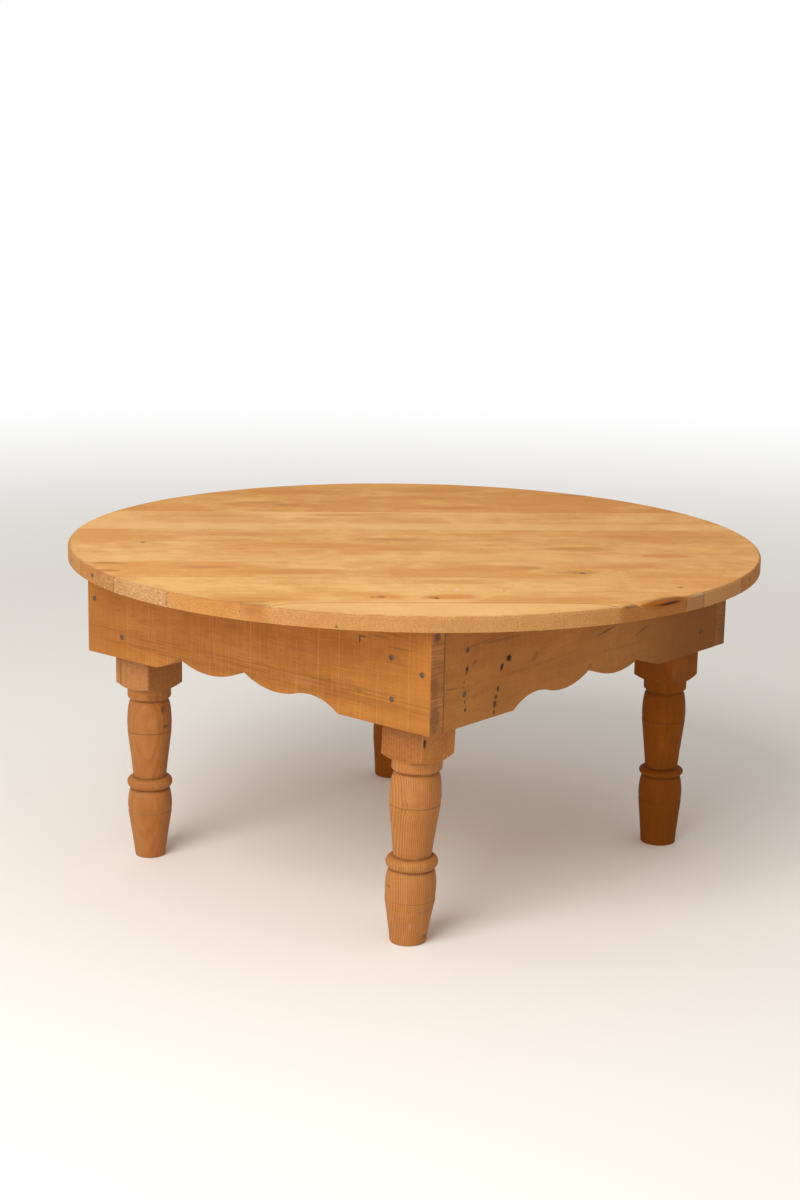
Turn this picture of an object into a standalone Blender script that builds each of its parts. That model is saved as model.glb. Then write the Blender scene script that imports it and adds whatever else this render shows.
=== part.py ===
"""Low round tea table: a boarded top nailed to a scalloped board frame on four turned legs.

Run with blender --background --python part.py, or from Blender's text editor. Metres, +Z up.
The origin is on the floor under the middle of the table. The frame's sides lie along X and Y,
and the boards of the top cross the frame at 45 degrees.
"""

import math

import bmesh
import bpy
from mathutils import Matrix, Vector

MM = 0.001

# Overall sizes
TABLE_HEIGHT = 405 * MM
# The round is a little wider along its boards, because wood shrinks across the grain
TOP_LENGTH = 858 * MM
TOP_WIDTH = 850 * MM

# Fits
JOINT_GAP = 0.3 * MM
OVERRUN = 5 * MM

# How near two points of an outline lie before they count as one
TURNING_MERGE_DISTANCE = 0.1 * MM
BOARD_MERGE_DISTANCE = 0.01 * MM
# Faces turned less than this are one flat face, and edges sharper than the next are eased
FLAT_ANGLE = math.radians(1)
EASED_ANGLE = math.radians(40)
QUARTER_TURN = math.pi / 2

# Top: boards butted edge to edge, cut round, their upper rim worn to a radius
TOP_THICKNESS = 18 * MM
TOP_RIM_ROUND = 3.5 * MM
TOP_RIM_ARC_STEPS = 3
TOP_RIM_STEPS = 128
TOP_BOARD_ANGLE = math.radians(45)
# Board joints, as shares of half the top's width from its middle line, back to front
TOP_JOINT_SHARES = (-0.767, -0.449, -0.151, 0.033, 0.328, 0.535, 0.713, 0.858)

# Frame: four boards of one size, two of them lapping over the ends of the other two
FRAME_BOARD_LENGTH = 550 * MM
FRAME_BOARD_DEPTH = 120.5 * MM
FRAME_BOARD_THICKNESS = 23 * MM
FRAME_EDGE_EASE = 0.8 * MM

# Scallop cut in each frame board's lower edge: places are from the scallop's middle
SCALLOP_PEAK_RISE = 21.8 * MM
SCALLOP_LOBE_REACH = 50 * MM
SCALLOP_LOBE_RISE = 7.2 * MM
SCALLOP_SHOULDER_REACH = 106 * MM
SCALLOP_SHOULDER_RISE = 14.5 * MM
SCALLOP_CUSP_REACH = 106 * MM
SCALLOP_CUSP_RISE = 18 * MM
SCALLOP_TURN_REACH = 78 * MM
SCALLOP_TURN_RISE = 10 * MM
SCALLOP_END_REACH = 148 * MM
SCALLOP_CORNER_BULGE = 2.2 * MM
SCALLOP_ARC_STEPS = 7
# How far a board's scallop stands off the board's middle, towards the end with the cusp
SCALLOP_SHIFTS = {"front": 6.5 * MM}

# Leg: a square blank turned below its block; heights are above the floor
LEG_BLOCK_SIDE = 59 * MM
LEG_ARRIS_CHAMFER = 1.6 * MM
LEG_TURNING_STEPS = 28
LEG_FOOT_RADIUS = 19.6 * MM
LEG_FOOT_EASE = 1.2 * MM
LEG_LOWER_LINE_HEIGHT = 56 * MM
LEG_LOWER_LINE_RADIUS = 28.4 * MM
LEG_LOWER_BELLY_HEIGHT = 65 * MM
LEG_LOWER_BELLY_RADIUS = 28.8 * MM
LEG_LOWER_TOP_RADIUS = 23.8 * MM
LEG_LOWER_HOLLOW = 0.2 * MM
LEG_RING_HEIGHT = 97 * MM
LEG_RING_HALF_WIDTH = 7.2 * MM
LEG_RING_RADIUS = 29.4 * MM
LEG_WAIST_RADIUS = 21.4 * MM
LEG_UPPER_LINE_HEIGHT = 166 * MM
LEG_UPPER_LINE_RADIUS = 28.6 * MM
LEG_UPPER_BELLY_HEIGHT = 173 * MM
LEG_UPPER_BELLY_RADIUS = 28.9 * MM
LEG_UPPER_HOLLOW = 0.2 * MM
LEG_NECK_HEIGHT = 204 * MM
LEG_NECK_RADIUS = 24 * MM
LEG_COLLAR_BOTTOM = 207 * MM
LEG_COLLAR_TOP = 219.5 * MM
LEG_COLLAR_RADIUS = 28.2 * MM
LEG_COLLAR_EASE = 2.5 * MM
LEG_SHOULDER_RISE = 6 * MM
LEG_BELLY_STEPS = 4
LEG_TAPER_STEPS = 2
LEG_RING_STEPS = 6
# The legs were turned by hand and eye: each one's girth, the further girth of its foot, and the
# width of its ring, as shares of the sizes above
LEG_GIRTH_SHARES = {"front_left": 0.965, "front_right": 1.025, "back_left": 1.0, "back_right": 0.965}
LEG_FOOT_SHARES = {"front_left": 1.0, "front_right": 1.04, "back_left": 1.18, "back_right": 1.18}
LEG_RING_WIDTH_SHARES = {"front_left": 1.0, "front_right": 1.0, "back_left": 1.0, "back_right": 0.7}
# Two legs stand out of true: how far each one's foot is in from under its block, along X and Y
LEG_LEAN_SHIFTS = {"front_right": (15.5 * MM, 0), "back_left": (0, 20 * MM)}

# Nails: round lost-head wire nails
NAIL_LENGTH = 50 * MM
NAIL_SHANK_RADIUS = 1.4 * MM
NAIL_HEAD_RADIUS = 2.4 * MM
NAIL_HEAD_DEPTH = 1.8 * MM
NAIL_NECK_DEPTH = 1.0 * MM
NAIL_POINT_LENGTH = 5 * MM
NAIL_STEPS = 10
TOP_NAIL_LENGTH = 45 * MM
TOP_NAIL_SINK = 0.8 * MM
FRAME_NAIL_SINK = 0.2 * MM

# Nails through each frame board's ends into the leg blocks: places as shares of half the block
# from its middle towards the corner, and of the board's depth from its lower edge
LEG_NAIL_SHARES = {
    "front": {"left": ((-0.29, 0.226),), "right": ((-0.05, 0.266), (-0.10, 0.657))},
    "right": {"front": ((-0.22, 0.305), (-0.35, 0.716)), "back": ((-0.19, 0.217),)},
    "back": {"left": ((-0.20, 0.246), (-0.26, 0.687)), "right": ((-0.17, 0.275), (-0.22, 0.667))},
    "left": {"front": ((-0.21, 0.266), (-0.30, 0.706)), "back": ((-0.18, 0.236), (-0.25, 0.696))},
}
# Nails through the long sides into the short boards' ends: places as shares of half the short
# board's thickness from its middle towards the corner, and of the depth as above
END_NAIL_SHARES = {
    "front": {"left": (-0.10, 0.569), "right": (-0.03, 0.559)},
    "back": {"left": (0.10, 0.559), "right": (-0.15, 0.550)},
}
# Nails down through the top: into two leg blocks, as shares of half a block from its middle
TOP_LEG_NAIL_SHARES = {"front_left": (0.05, -0.34), "front_right": (0.38, 0.20)}
# and into the frame, each where a board of the top crosses it: the board's number, with the
# nail's place as a share of half that board's width from its middle
TOP_NAIL_BOARD_SHARES = {
    "front": {8: -0.10},
    "back": {3: -0.85},
    "right": {5: 0.34, 6: 0.40, 7: 0.84},
    "left": {2: 0.34},
}
# The one nail driven through the rim, at this share of half the width from the middle line
RIM_NAIL_SHARE = 0.42

# The sides of the frame, with the ways that they face along X or Y
LONG_SIDES = ("front", "back")
SHORT_SIDES = ("left", "right")
SIDE_SIGNS = {"front": -1, "back": 1, "left": -1, "right": 1}

# Sizes that follow from those above
TOP_RADIUS = TOP_WIDTH / 2
TOP_REACH = TOP_LENGTH / 2
TOP_UNDERSIDE = TABLE_HEIGHT - TOP_THICKNESS
FRAME_TOP = TOP_UNDERSIDE - JOINT_GAP
FRAME_BOTTOM = FRAME_TOP - FRAME_BOARD_DEPTH
FRAME_HALF_X = FRAME_BOARD_LENGTH / 2
FRAME_HALF_Y = FRAME_BOARD_LENGTH / 2 + JOINT_GAP + FRAME_BOARD_THICKNESS
LEG_X = FRAME_HALF_X - FRAME_BOARD_THICKNESS - JOINT_GAP - LEG_BLOCK_SIDE / 2
LEG_Y = FRAME_HALF_Y - FRAME_BOARD_THICKNESS - JOINT_GAP - LEG_BLOCK_SIDE / 2

# Wood and steel as the table shows them: colour, roughness, metallic
FINISHES = {
    "top_wood": ((0.72, 0.43, 0.17, 1), 0.55, 0.0),
    "frame_wood": ((0.55, 0.26, 0.07, 1), 0.6, 0.0),
    "leg_wood": ((0.60, 0.31, 0.10, 1), 0.5, 0.0),
    "nail_steel": ((0.30, 0.30, 0.31, 1), 0.5, 1.0),
}


def clear_scene():
    for obj in list(bpy.data.objects):
        bpy.data.objects.remove(obj)


def new_collection(name):
    collection = bpy.data.collections.new(name)
    bpy.context.scene.collection.children.link(collection)
    return collection


def finish_material(name):
    colour, roughness, metallic = FINISHES[name]
    material = bpy.data.materials.new(name)
    material.use_nodes = True
    shader = material.node_tree.nodes["Principled BSDF"]
    shader.inputs["Base Color"].default_value = colour
    shader.inputs["Roughness"].default_value = roughness
    shader.inputs["Metallic"].default_value = metallic
    return material


def add_object(name, mesh, collection, material=None, location=(0, 0, 0), rotation=(0, 0, 0)):
    obj = bpy.data.objects.new(name, mesh)
    collection.objects.link(obj)
    obj.location = location
    obj.rotation_euler = rotation
    if material and not mesh.materials:
        mesh.materials.append(material)
    return obj


def make_cutter(obj):
    obj.hide_render = True
    obj.display_type = "WIRE"
    return obj


def box_mesh(name, low, high):
    """A box between two corners, from Blender's unit cube."""
    low, high = Vector(low), Vector(high)
    mesh = bpy.data.meshes.new(name)
    box = bmesh.new()
    bmesh.ops.create_cube(box, size=1)
    size = high - low
    bmesh.ops.scale(box, vec=size, verts=box.verts)
    bmesh.ops.translate(box, vec=(low + high) / 2, verts=box.verts)
    box.to_mesh(mesh)
    box.free()
    return mesh


def turned_mesh(name, profile):
    """The half outline of a turned shape, as (radius, height) pairs from its top down."""
    mesh = bpy.data.meshes.new(name)
    points = [(radius, 0, height) for radius, height in profile]
    mesh.from_pydata(points, [(i, i + 1) for i in range(len(points) - 1)], [])
    return mesh


def turn(obj, steps):
    """Sweeps a turned outline once round Z."""
    screw = obj.modifiers.new("turn", "SCREW")
    screw.axis = "Z"
    screw.angle = 2 * math.pi
    screw.steps = steps
    screw.render_steps = steps
    screw.use_merge_vertices = True
    screw.merge_threshold = TURNING_MERGE_DISTANCE
    screw.use_smooth_shade = True


def boolean(obj, operation, other):
    modifier = obj.modifiers.new(operation.lower(), "BOOLEAN")
    modifier.operation = operation
    modifier.object = other


def bevel(obj, width, segments=1):
    """Eases an object's edges, leaving out those that only join the steps of a curve."""
    modifier = obj.modifiers.new("ease", "BEVEL")
    modifier.width = width
    modifier.segments = segments
    modifier.limit_method = "ANGLE"
    modifier.angle_limit = EASED_ANGLE


def baked(obj):
    """An object's mesh as its modifiers leave it. The object itself is removed."""
    bpy.context.view_layer.update()
    evaluated = obj.evaluated_get(bpy.context.evaluated_depsgraph_get())
    mesh = bpy.data.meshes.new_from_object(evaluated)
    bpy.data.objects.remove(obj)
    return mesh


def arc_through(start, middle, end, steps):
    """Points on the circle through three points, from start to end, with the start left out."""
    (ax, ay), (bx, by), (cx, cy) = start, middle, end
    d = 2 * (ax * (by - cy) + bx * (cy - ay) + cx * (ay - by))
    a2, b2, c2 = ax * ax + ay * ay, bx * bx + by * by, cx * cx + cy * cy
    ox = (a2 * (by - cy) + b2 * (cy - ay) + c2 * (ay - by)) / d
    oy = (a2 * (cx - bx) + b2 * (ax - cx) + c2 * (bx - ax)) / d
    radius = math.hypot(ax - ox, ay - oy)
    first = math.atan2(ay - oy, ax - ox)
    sweep_middle = (math.atan2(by - oy, bx - ox) - first) % (2 * math.pi)
    sweep_end = (math.atan2(cy - oy, cx - ox) - first) % (2 * math.pi)
    if sweep_middle > sweep_end:
        sweep_end -= 2 * math.pi
    angles = [first + sweep_end * i / steps for i in range(1, steps + 1)]
    return [(ox + radius * math.cos(a), oy + radius * math.sin(a)) for a in angles]


def scallop_ogee_half():
    """The half of the scallop that ends in a smooth ogee, from its end to the middle peak."""
    end = (SCALLOP_END_REACH, 0)
    shoulder = (SCALLOP_SHOULDER_REACH, SCALLOP_SHOULDER_RISE)
    turning = (SCALLOP_TURN_REACH, SCALLOP_TURN_RISE)
    lobe = (SCALLOP_LOBE_REACH, SCALLOP_LOBE_RISE)
    peak = (0, SCALLOP_PEAK_RISE)
    outer = arc_through(end, shoulder, turning, SCALLOP_ARC_STEPS)
    return [end] + outer + arc_through(turning, lobe, peak, SCALLOP_ARC_STEPS)


def scallop_cusp_half():
    """The half that ends in a cusp and a rounded corner, from its end to the middle peak."""
    end = (SCALLOP_END_REACH, 0)
    cusp = (SCALLOP_CUSP_REACH, SCALLOP_CUSP_RISE)
    corner = ((end[0] + cusp[0]) / 2, (end[1] + cusp[1]) / 2 - SCALLOP_CORNER_BULGE)
    lobe = (SCALLOP_LOBE_REACH, SCALLOP_LOBE_RISE)
    peak = (0, SCALLOP_PEAK_RISE)
    outer = arc_through(end, corner, cusp, SCALLOP_ARC_STEPS)
    return [end] + outer + arc_through(cusp, lobe, peak, SCALLOP_ARC_STEPS)


def frame_board_outline(scallop_shift):
    """The board's face: along its length from its middle, and above its lower edge."""
    half = FRAME_BOARD_LENGTH / 2
    left = [(-reach - scallop_shift, rise) for reach, rise in scallop_cusp_half()]
    ogee = [(reach - scallop_shift, rise) for reach, rise in scallop_ogee_half()]
    right = list(reversed(ogee))[1:]
    top = [(half, FRAME_BOARD_DEPTH), (-half, FRAME_BOARD_DEPTH)]
    return [(-half, 0)] + left + right + [(half, 0)] + top


def frame_board_mesh(scallop_shift):
    """A frame board lying along X, its outer face towards -Y and its lower edge at Z 0."""
    curve = bpy.data.curves.new("frame_board", "CURVE")
    curve.dimensions = "2D"
    curve.fill_mode = "BOTH"
    curve.extrude = FRAME_BOARD_THICKNESS / 2
    spline = curve.splines.new("POLY")
    outline = frame_board_outline(scallop_shift)
    spline.points.add(len(outline) - 1)
    for point, (x, z) in zip(spline.points, outline):
        point.co = (x, z, 0, 1)
    spline.use_cyclic_u = True
    guide = bpy.data.objects.new("frame_board_guide", curve)
    bpy.context.scene.collection.objects.link(guide)
    mesh = baked(guide)
    board = bmesh.new()
    board.from_mesh(mesh)
    bmesh.ops.remove_doubles(board, verts=board.verts, dist=BOARD_MERGE_DISTANCE)
    bmesh.ops.dissolve_limit(
        board, angle_limit=FLAT_ANGLE, verts=board.verts, edges=board.edges
    )
    upright = Matrix.Rotation(QUARTER_TURN, 4, "X")
    bmesh.ops.transform(board, matrix=upright, verts=board.verts)
    bmesh.ops.recalc_face_normals(board, faces=board.faces)
    board.to_mesh(mesh)
    board.free()
    return mesh


def belly_profile(top, belly, steps):
    """Quarter of an ellipse from the vase's top edge out to its belly, top down."""
    points = []
    for i in range(steps + 1):
        height = top[1] + (belly[1] - top[1]) * i / steps
        share = (height - belly[1]) / (top[1] - belly[1])
        points.append((top[0] + (belly[0] - top[0]) * math.sqrt(1 - share * share), height))
    return points


def taper_profile(upper, lower, hollow, steps):
    """A nearly straight taper, hollowed a little in its middle, with the upper point left out."""
    points = []
    for i in range(1, steps + 1):
        share = i / steps
        radius = upper[0] + (lower[0] - upper[0]) * share - hollow * math.sin(math.pi * share)
        points.append((radius, upper[1] + (lower[1] - upper[1]) * share))
    return points


def ring_profile(upper_radius, lower_radius, half_width):
    """The bead between the vases: half an ellipse, from its upper edge to its lower one."""
    points = []
    for i in range(1, LEG_RING_STEPS):
        angle = math.pi * i / LEG_RING_STEPS
        inner = upper_radius + (lower_radius - upper_radius) * i / LEG_RING_STEPS
        radius = inner + (LEG_RING_RADIUS - inner) * math.sin(angle)
        points.append((radius, LEG_RING_HEIGHT + half_width * math.cos(angle)))
    return points


def leg_turning_profile(foot_share, ring_width_share):
    """The lathe's outline, top down: open above the shoulder, where the blank stays square."""
    block_reach = LEG_BLOCK_SIDE / math.sqrt(2) + OVERRUN
    # The shoulder is a cone, which rises to the corners of the square blank
    shoulder_slope = LEG_SHOULDER_RISE / (LEG_BLOCK_SIDE / math.sqrt(2) - LEG_COLLAR_RADIUS)
    shoulder_top = LEG_COLLAR_TOP + (block_reach - LEG_COLLAR_RADIUS) * shoulder_slope
    ring_half_width = LEG_RING_HALF_WIDTH * ring_width_share
    ring_top = LEG_RING_HEIGHT + ring_half_width
    ring_bottom = LEG_RING_HEIGHT - ring_half_width
    foot_radius = LEG_FOOT_RADIUS * foot_share
    leg_top = FRAME_TOP
    profile = [(0, leg_top), (block_reach, leg_top), (block_reach, shoulder_top)]
    profile += [(LEG_COLLAR_RADIUS, LEG_COLLAR_TOP)]
    profile += [(LEG_COLLAR_RADIUS, LEG_COLLAR_BOTTOM + LEG_COLLAR_EASE)]
    profile += [(LEG_COLLAR_RADIUS - LEG_COLLAR_EASE, LEG_COLLAR_BOTTOM)]
    upper_belly = (LEG_UPPER_BELLY_RADIUS, LEG_UPPER_BELLY_HEIGHT)
    upper_line = (LEG_UPPER_LINE_RADIUS, LEG_UPPER_LINE_HEIGHT)
    profile += belly_profile((LEG_NECK_RADIUS, LEG_NECK_HEIGHT), upper_belly, LEG_BELLY_STEPS)
    profile += [upper_line]
    waist = (LEG_WAIST_RADIUS, ring_top)
    profile += taper_profile(upper_line, waist, LEG_UPPER_HOLLOW, LEG_TAPER_STEPS)
    profile += ring_profile(LEG_WAIST_RADIUS, LEG_LOWER_TOP_RADIUS, ring_half_width)
    lower_belly = (LEG_LOWER_BELLY_RADIUS, LEG_LOWER_BELLY_HEIGHT)
    lower_line = (LEG_LOWER_LINE_RADIUS, LEG_LOWER_LINE_HEIGHT)
    profile += belly_profile((LEG_LOWER_TOP_RADIUS, ring_bottom), lower_belly, LEG_BELLY_STEPS)
    profile += [lower_line]
    foot = (foot_radius, LEG_FOOT_EASE)
    profile += taper_profile(lower_line, foot, LEG_LOWER_HOLLOW, LEG_TAPER_STEPS)
    profile += [(foot_radius - LEG_FOOT_EASE, 0), (0, 0)]
    return profile


def nail_profile(length, grow):
    """A nail's outline, or its hole's where grow is the clearance: its head's face at Z 0."""
    if grow:
        head_top = OVERRUN
    else:
        head_top = 0
    head = NAIL_HEAD_RADIUS + grow
    shank = NAIL_SHANK_RADIUS + grow
    head_bottom = -NAIL_HEAD_DEPTH - grow
    neck_bottom = head_bottom - NAIL_NECK_DEPTH
    shank_bottom = -length + NAIL_POINT_LENGTH - grow
    point = -length - grow
    return [
        (0, head_top),
        (head, head_top),
        (head, head_bottom),
        (shank, neck_bottom),
        (shank, shank_bottom),
        (0, point),
    ]


def across_boards(x, y):
    """How far a place in the plan lies from the top's middle line, towards its front board."""
    return x * math.sin(TOP_BOARD_ANGLE) - y * math.cos(TOP_BOARD_ANGLE)


class Nail:
    """A nail's head place, the way its point goes, its length, and the pieces it goes through."""

    def __init__(self, name, place, point_way, length, pieces):
        self.name = name
        self.place = Vector(place)
        self.point_way = Vector(point_way)
        self.length = length
        self.pieces = pieces


def across_at_board(number, share):
    """A place across the top, as a share of half a board's width from that board's middle."""
    joints = (-1,) + TOP_JOINT_SHARES + (1,)
    low, high = joints[number - 1] * TOP_RADIUS, joints[number] * TOP_RADIUS
    return (low + high) / 2 + share * (high - low) / 2


def top_boards_at(x, y):
    """The board that a nail at this place in the plan goes through, or both beside a joint."""
    across = across_boards(x, y)
    reach = NAIL_HEAD_RADIUS + 2 * JOINT_GAP
    names = []
    for edge in (across - reach, across + reach):
        index = sum(edge > joint * TOP_RADIUS for joint in TOP_JOINT_SHARES)
        names.append(f"top_board_{index + 1}")
    return sorted(set(names))


def leg_nails():
    """Nails through the ends of the frame boards into the leg blocks."""
    nails = []
    half_block = LEG_BLOCK_SIDE / 2
    for side, ends in LEG_NAIL_SHARES.items():
        for end, places in ends.items():
            for number, (along_share, height_share) in enumerate(places, 1):
                height = FRAME_BOTTOM + height_share * FRAME_BOARD_DEPTH
                if side in LONG_SIDES:
                    corner = f"{side}_{end}"
                    x = SIDE_SIGNS[end] * (LEG_X + along_share * half_block)
                    y = SIDE_SIGNS[side] * (FRAME_HALF_Y - FRAME_NAIL_SINK)
                    inward = (0, -SIDE_SIGNS[side], 0)
                else:
                    corner = f"{end}_{side}"
                    x = SIDE_SIGNS[side] * (FRAME_HALF_X - FRAME_NAIL_SINK)
                    y = SIDE_SIGNS[end] * (LEG_Y + along_share * half_block)
                    inward = (-SIDE_SIGNS[side], 0, 0)
                pieces = [f"frame_board_{side}", f"leg_{corner}"]
                name = f"nail_{side}_{end}_{number}"
                nails.append(Nail(name, (x, y, height), inward, NAIL_LENGTH, pieces))
    return nails


def end_nails():
    """Nails through the long sides into the end grain of the short boards."""
    nails = []
    half_thickness = FRAME_BOARD_THICKNESS / 2
    for side, ends in END_NAIL_SHARES.items():
        for end, (along_share, height_share) in ends.items():
            middle = FRAME_HALF_X - half_thickness
            x = SIDE_SIGNS[end] * (middle + along_share * half_thickness)
            y = SIDE_SIGNS[side] * (FRAME_HALF_Y - FRAME_NAIL_SINK)
            height = FRAME_BOTTOM + height_share * FRAME_BOARD_DEPTH
            inward = (0, -SIDE_SIGNS[side], 0)
            pieces = [f"frame_board_{side}", f"frame_board_{end}"]
            nails.append(Nail(f"nail_{side}_{end}_end", (x, y, height), inward, NAIL_LENGTH, pieces))
    return nails


def top_nails():
    """Nails down through the top, into two of the leg blocks and into the frame boards."""
    half_block = LEG_BLOCK_SIDE / 2
    middle_x = FRAME_HALF_X - FRAME_BOARD_THICKNESS / 2
    middle_y = FRAME_HALF_Y - FRAME_BOARD_THICKNESS / 2
    places = []
    for corner, (x_share, y_share) in TOP_LEG_NAIL_SHARES.items():
        long_side, short_side = corner.split("_")
        x = SIDE_SIGNS[short_side] * LEG_X + x_share * half_block
        y = SIDE_SIGNS[long_side] * LEG_Y + y_share * half_block
        places.append((corner, x, y, f"leg_{corner}"))
    sine, cosine = math.sin(TOP_BOARD_ANGLE), math.cos(TOP_BOARD_ANGLE)
    for side, board_shares in TOP_NAIL_BOARD_SHARES.items():
        for number, share in board_shares.items():
            across = across_at_board(number, share)
            if side in LONG_SIDES:
                y = SIDE_SIGNS[side] * middle_y
                x = (across + y * cosine) / sine
            else:
                x = SIDE_SIGNS[side] * middle_x
                y = (x * sine - across) / cosine
            places.append((f"{side}_{number}", x, y, f"frame_board_{side}"))
    nails = []
    for name, x, y, below in places:
        head = (x, y, TABLE_HEIGHT - TOP_NAIL_SINK)
        pieces = top_boards_at(x, y) + [below]
        nails.append(Nail(f"nail_top_{name}", head, (0, 0, -1), TOP_NAIL_LENGTH, pieces))
    return nails


def rim_nail():
    """The nail through the rim at the left end of the sixth board, towards the middle."""
    across = RIM_NAIL_SHARE * TOP_RADIUS
    along = -TOP_REACH * math.sqrt(1 - RIM_NAIL_SHARE**2)
    cosine, sine = math.cos(TOP_BOARD_ANGLE), math.sin(TOP_BOARD_ANGLE)
    x = along * cosine + across * sine
    y = along * sine - across * cosine
    inward = Vector((-x, -y, 0)).normalized()
    height = TOP_UNDERSIDE + TOP_THICKNESS / 2
    head = Vector((x, y, height)) + inward * FRAME_NAIL_SINK
    return Nail("nail_rim", head, inward, NAIL_LENGTH, top_boards_at(x, y))


def build_top(parts, cutters, material):
    """One object for each board: a strip of the round top between two joints."""
    rim = []
    for i in range(TOP_RIM_ARC_STEPS + 1):
        angle = QUARTER_TURN * i / TOP_RIM_ARC_STEPS
        radius = TOP_RADIUS - TOP_RIM_ROUND + TOP_RIM_ROUND * math.sin(angle)
        rim.append((radius, TABLE_HEIGHT - TOP_RIM_ROUND + TOP_RIM_ROUND * math.cos(angle)))
    profile = [(0, TABLE_HEIGHT)] + rim + [(TOP_RADIUS, TOP_UNDERSIDE), (0, TOP_UNDERSIDE)]
    turned = (0, 0, TOP_BOARD_ANGLE)
    round_top = add_object(
        "round_top", turned_mesh("round_top", profile), cutters, rotation=turned
    )
    round_top.scale.x = TOP_REACH / TOP_RADIUS
    turn(round_top, TOP_RIM_STEPS)
    make_cutter(round_top)
    joints = [share * TOP_RADIUS for share in TOP_JOINT_SHARES]
    reach = TOP_REACH + OVERRUN
    width_reach = TOP_RADIUS + OVERRUN
    starts = [-width_reach] + [joint + JOINT_GAP / 2 for joint in joints]
    ends = [joint - JOINT_GAP / 2 for joint in joints] + [width_reach]
    boards = {}
    for number, (start, end) in enumerate(zip(starts, ends), 1):
        name = f"top_board_{number}"
        low = (-reach, -end, TOP_UNDERSIDE - OVERRUN)
        high = (reach, -start, TABLE_HEIGHT + OVERRUN)
        board = add_object(name, box_mesh(name, low, high), parts, material, rotation=turned)
        boolean(board, "INTERSECT", round_top)
        boards[name] = board
    return boards


def build_frame(parts, material):
    """Four boards of one size: the long sides' ends lap over the ends of the short sides."""
    middle = FRAME_BOARD_THICKNESS / 2
    short_x = FRAME_HALF_X - middle
    long_y = FRAME_HALF_Y - middle
    places = {"front": (0, -long_y), "right": (short_x, 0), "back": (0, long_y), "left": (-short_x, 0)}
    boards = {}
    for quarter_turns, (side, (x, y)) in enumerate(places.items()):
        turned = (0, 0, quarter_turns * QUARTER_TURN)
        name = f"frame_board_{side}"
        mesh = frame_board_mesh(SCALLOP_SHIFTS.get(side, 0))
        board = add_object(name, mesh, parts, material, (x, y, FRAME_BOTTOM), turned)
        bevel(board, FRAME_EDGE_EASE)
        boards[name] = board
    # The short boards stand end for end, so that like halves meet at the front corner
    for side in ("right", "left"):
        mesh = boards[f"frame_board_{side}"].data
        mesh.transform(Matrix.Scale(-1, 4, (1, 0, 0)))
        mesh.flip_normals()
    return boards


def leaning(mesh, foot_shift, girth_share=1):
    """A copy of a leg's mesh, thinner or stouter, with its foot moved sideways, still level."""
    copy = mesh.copy()
    copy.transform(Matrix.Diagonal((girth_share, girth_share, 1, 1)))
    lean = Matrix.Identity(4)
    for axis, shift in enumerate(foot_shift):
        lean[axis][2] = -shift / FRAME_TOP
        lean[axis][3] = shift
    copy.transform(lean)
    return copy


def build_legs(parts, cutters, material):
    """Each leg is a square blank kept inside the lathe's outline."""
    half = LEG_BLOCK_SIDE / 2
    blank = box_mesh("leg", (-half, -half, -OVERRUN), (half, half, TABLE_HEIGHT))
    legs = {}
    for long_side in LONG_SIDES:
        for short_side in SHORT_SIDES:
            corner = f"{long_side}_{short_side}"
            place = (SIDE_SIGNS[short_side] * LEG_X, SIDE_SIGNS[long_side] * LEG_Y, 0)
            shift_x, shift_y = LEG_LEAN_SHIFTS.get(corner, (0, 0))
            shift = (-SIDE_SIGNS[short_side] * shift_x, -SIDE_SIGNS[long_side] * shift_y)
            profile = leg_turning_profile(LEG_FOOT_SHARES[corner], LEG_RING_WIDTH_SHARES[corner])
            outline = add_object("leg_turning", turned_mesh("leg_turning", profile), cutters)
            turn(outline, LEG_TURNING_STEPS)
            lathe_mesh = leaning(baked(outline), shift, LEG_GIRTH_SHARES[corner])
            lathe = add_object(f"leg_{corner}_turning", lathe_mesh, cutters, location=place)
            make_cutter(lathe)
            leg = add_object(f"leg_{corner}", leaning(blank, shift), parts, material, place)
            bevel(leg, LEG_ARRIS_CHAMFER)
            boolean(leg, "INTERSECT", lathe)
            legs[leg.name] = leg
    return legs


def build_nails(nails, pieces, parts, cutters, material):
    """Places each nail and cuts its hole, a clearance larger, in the pieces it goes through."""
    meshes = {}
    for length in (NAIL_LENGTH, TOP_NAIL_LENGTH):
        meshes[length] = (
            turned_mesh("nail", nail_profile(length, 0)),
            turned_mesh("nail_hole", nail_profile(length, JOINT_GAP)),
        )
    for nail in nails:
        rotation = (-nail.point_way).to_track_quat("Z", "Y").to_euler()
        nail_mesh, hole_mesh = meshes[nail.length]
        body = add_object(nail.name, nail_mesh, parts, material, nail.place, rotation)
        turn(body, NAIL_STEPS)
        hole = add_object(f"{nail.name}_hole", hole_mesh, cutters, None, nail.place, rotation)
        turn(hole, NAIL_STEPS)
        make_cutter(hole)
        for piece in nail.pieces:
            boolean(pieces[piece], "DIFFERENCE", hole)


def main():
    clear_scene()
    parts = new_collection("tea_table")
    cutters = new_collection("cutters")
    top_wood = finish_material("top_wood")
    frame_wood = finish_material("frame_wood")
    leg_wood = finish_material("leg_wood")
    nail_steel = finish_material("nail_steel")
    pieces = build_top(parts, cutters, top_wood)
    pieces.update(build_frame(parts, frame_wood))
    pieces.update(build_legs(parts, cutters, leg_wood))
    nails = leg_nails() + end_nails() + top_nails() + [rim_nail()]
    build_nails(nails, pieces, parts, cutters, nail_steel)


main()
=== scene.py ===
"""The looks of a low round tea table: a sanded top of butted boards, scalloped frame boards,
turned legs and old wire nails.

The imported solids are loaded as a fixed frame. Each piece made here takes its place and its
main sizes from its own solid, and stands for it. Lengths are in metres, and +Z is up.
"""

import math
from collections import namedtuple

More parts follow.
